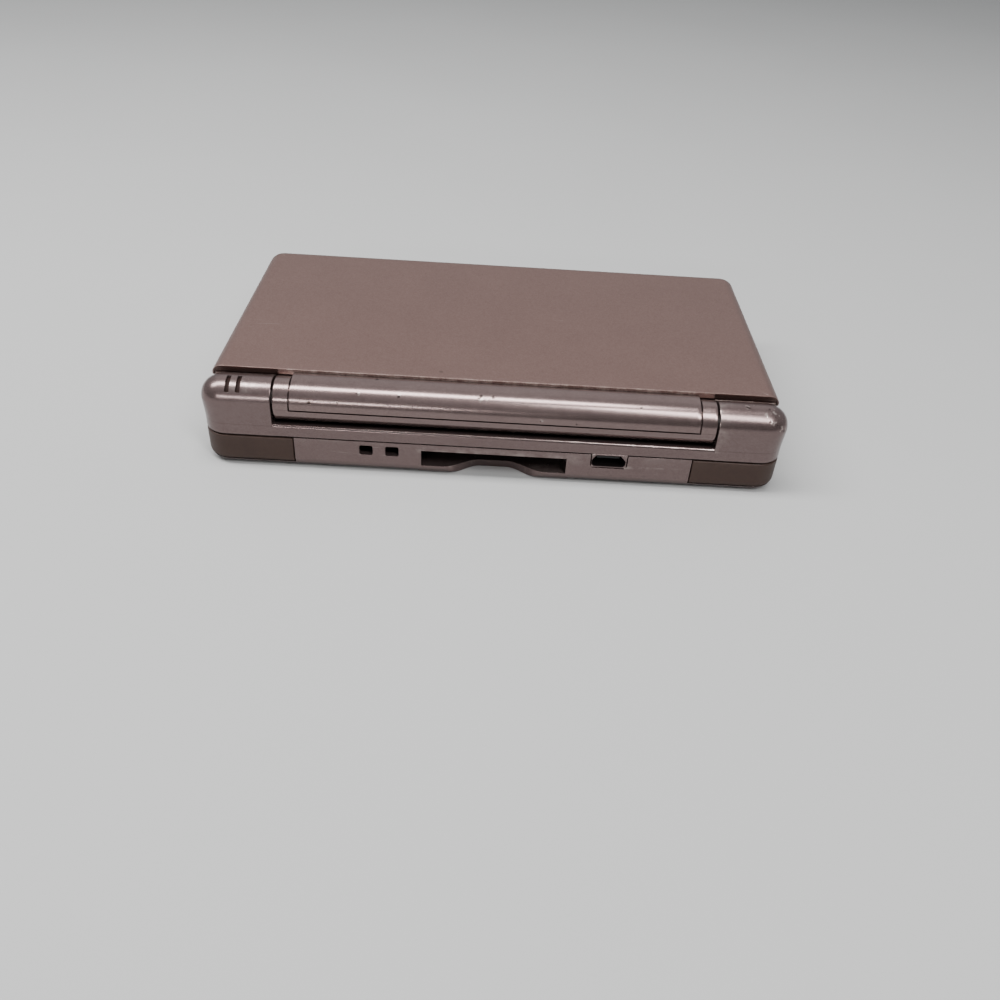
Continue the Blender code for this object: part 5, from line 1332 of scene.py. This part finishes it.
nodeFinish = {
    plainSteel: ["battery_cover_screw", "case_screw_1", "case_screw_2", "case_screw_3", "case_screw_4",
                 "left_lid_screw", "right_lid_screw", "hinge_pin", "hinge_clutch", "left_trigger_pin",
                 "right_trigger_pin", "left_trigger_spring", "right_trigger_spring", "card_spring",
                 "wireless_module",
                 "power_switch", "volume_switch", "microphone"],
    blackenedSteel: ["card_slot_cage"],
    darkPlastic: ["card_carriage", "cartridge_slot", "lower_display", "upper_display", "left_speaker",
                  "right_speaker", "pad_rocker"],
    greySilicone: ["pad_mat", "face_button_mat", "menu_button_mat"],
    boardGreen: ["main_board"],
    batteryWrap: ["battery"],
    flexAmber: ["display_cable", "antenna"],
}
for finish, names in nodeFinish.items():
    for name in names:
        for place in nodes[name].material_slots:
            place.material = finish
print("node finishes ready")


# the photo's camera: its three directions, its place in metres and its lens in millimetres
view = {"right": (-0.998385, -0.022847, 0.052015), "up": (0.055116, -0.611532, 0.789297),
        "back": (0.013776, 0.790889, 0.611804), "place": (0.000756, 0.209883, 0.127386), "lens": 33.06}
studio = {"floorColour": (0.38, 0.38, 0.377, 1), "worldColour": (0.84, 0.87, 0.9, 1),
          "dimColour": (0.2, 0.2, 0.205, 1), "worldStrength": 0.44}
# place, target, direction of the long side, the two sides in metres, and the power in watts
softLights = {"overheadStrip": ((0.24, 0.03, 0.62), (0.1, 0.03, 0), (1, 0, 0), (0.8, 0.16), 9.5),
              "lowWindow": ((0.42, 1.25, 0.46), (0.05, 0.03, 0.01), (1, 0, 0), (0.62, 0.07), 4.5),
              "highRear": ((-0.25, 0.4, 0.66), (-0.05, 0.03, 0), (-0.6, 0.75, 0), (0.42, 0.15), 4.5),
              "backGlow": ((0.0, -0.55, 0.6), (0, 0, 0), (1, 0, 0), (1.2, 0.45), 0.8)}


def makeFloor():
    # a square grid, six metres wide
    x, y = np.meshgrid(np.linspace(-3, 3, 9), np.linspace(-3, 3, 9))
    points = np.stack([x.ravel(), y.ravel(), np.zeros(x.size)], 1)
    i, j = np.meshgrid(np.arange(8), np.arange(8))
    corner = (i * 9 + j).ravel()
    mesh = bpy.data.meshes.new("floor")
    faces = np.stack([corner, corner + 1, corner + 10, corner + 9], 1)
    mesh.from_pydata(points.tolist(), [], faces.tolist())
    floor = bpy.data.objects.new("floor", mesh)
    bpy.context.scene.collection.objects.link(floor)
    material, tree, skin = startFinish("floorPaper", Roughness=0.8)
    pale = studio["floorColour"]
    dark = tuple(c * 0.93 for c in pale[:3]) + (1,)
    mottle = noise(tree, objectPlace(tree), 8.0, 6.0)
    tree.links.new(blendColour(tree, mottle, dark, pale), skin["Base Color"])
    mesh.materials.append(material)


def makeSoftLight(name, place, target, along, size, power):
    # an oblong light that faces the target, its long side turned as near as can be to a given direction
    lamp = bpy.data.lights.new(name, "AREA")
    lamp.shape, lamp.size, lamp.size_y, lamp.energy = "RECTANGLE", size[0], size[1], power
    made = bpy.data.objects.new(name, lamp)
    bpy.context.scene.collection.objects.link(made)
    away = (Vector(place) - Vector(target)).normalized()
    side = (Vector(along) - away * away.dot(Vector(along))).normalized()
    turn = Matrix([side, away.cross(side), away]).transposed().to_4x4()
    made.matrix_world = Matrix.Translation(place) @ turn


def makeCamera():
    data = bpy.data.cameras.new("photoView")
    data.lens, data.sensor_width, data.clip_start = view["lens"], 36, 0.01
    camera = bpy.data.objects.new("photoView", data)
    bpy.context.scene.collection.objects.link(camera)
    turn = Matrix([view["right"], view["up"], view["back"]]).transposed().to_4x4()
    camera.matrix_world = Matrix.Translation(view["place"]) @ turn
    bpy.context.scene.camera = camera


def makeSurroundings():
    # an even pale sky that is dimmer low down behind the camera
    world = bpy.data.worlds.new("studioWorld")
    bpy.context.scene.world = world
    world.use_nodes = True
    tree = world.node_tree
    direction = put(tree, "ShaderNodeTexCoord").outputs["Generated"]
    where = put(tree, "ShaderNodeSeparateXYZ", {"Vector": direction}).outputs
    behind = spread(tree, where["Y"], -0.1, 0.6)
    low = spread(tree, where["Z"], 0.75, 0.35)
    sky = blendColour(tree, times(tree, behind, low), studio["worldColour"], studio["dimColour"])
    tree.links.new(sky, tree.nodes["Background"].inputs["Color"])
    tree.nodes["Background"].inputs["Strength"].default_value = studio["worldStrength"]


makeFloor()
for name, values in softLights.items():
    makeSoftLight(name, *values)
makeCamera()
makeSurroundings()
print("studio ready")
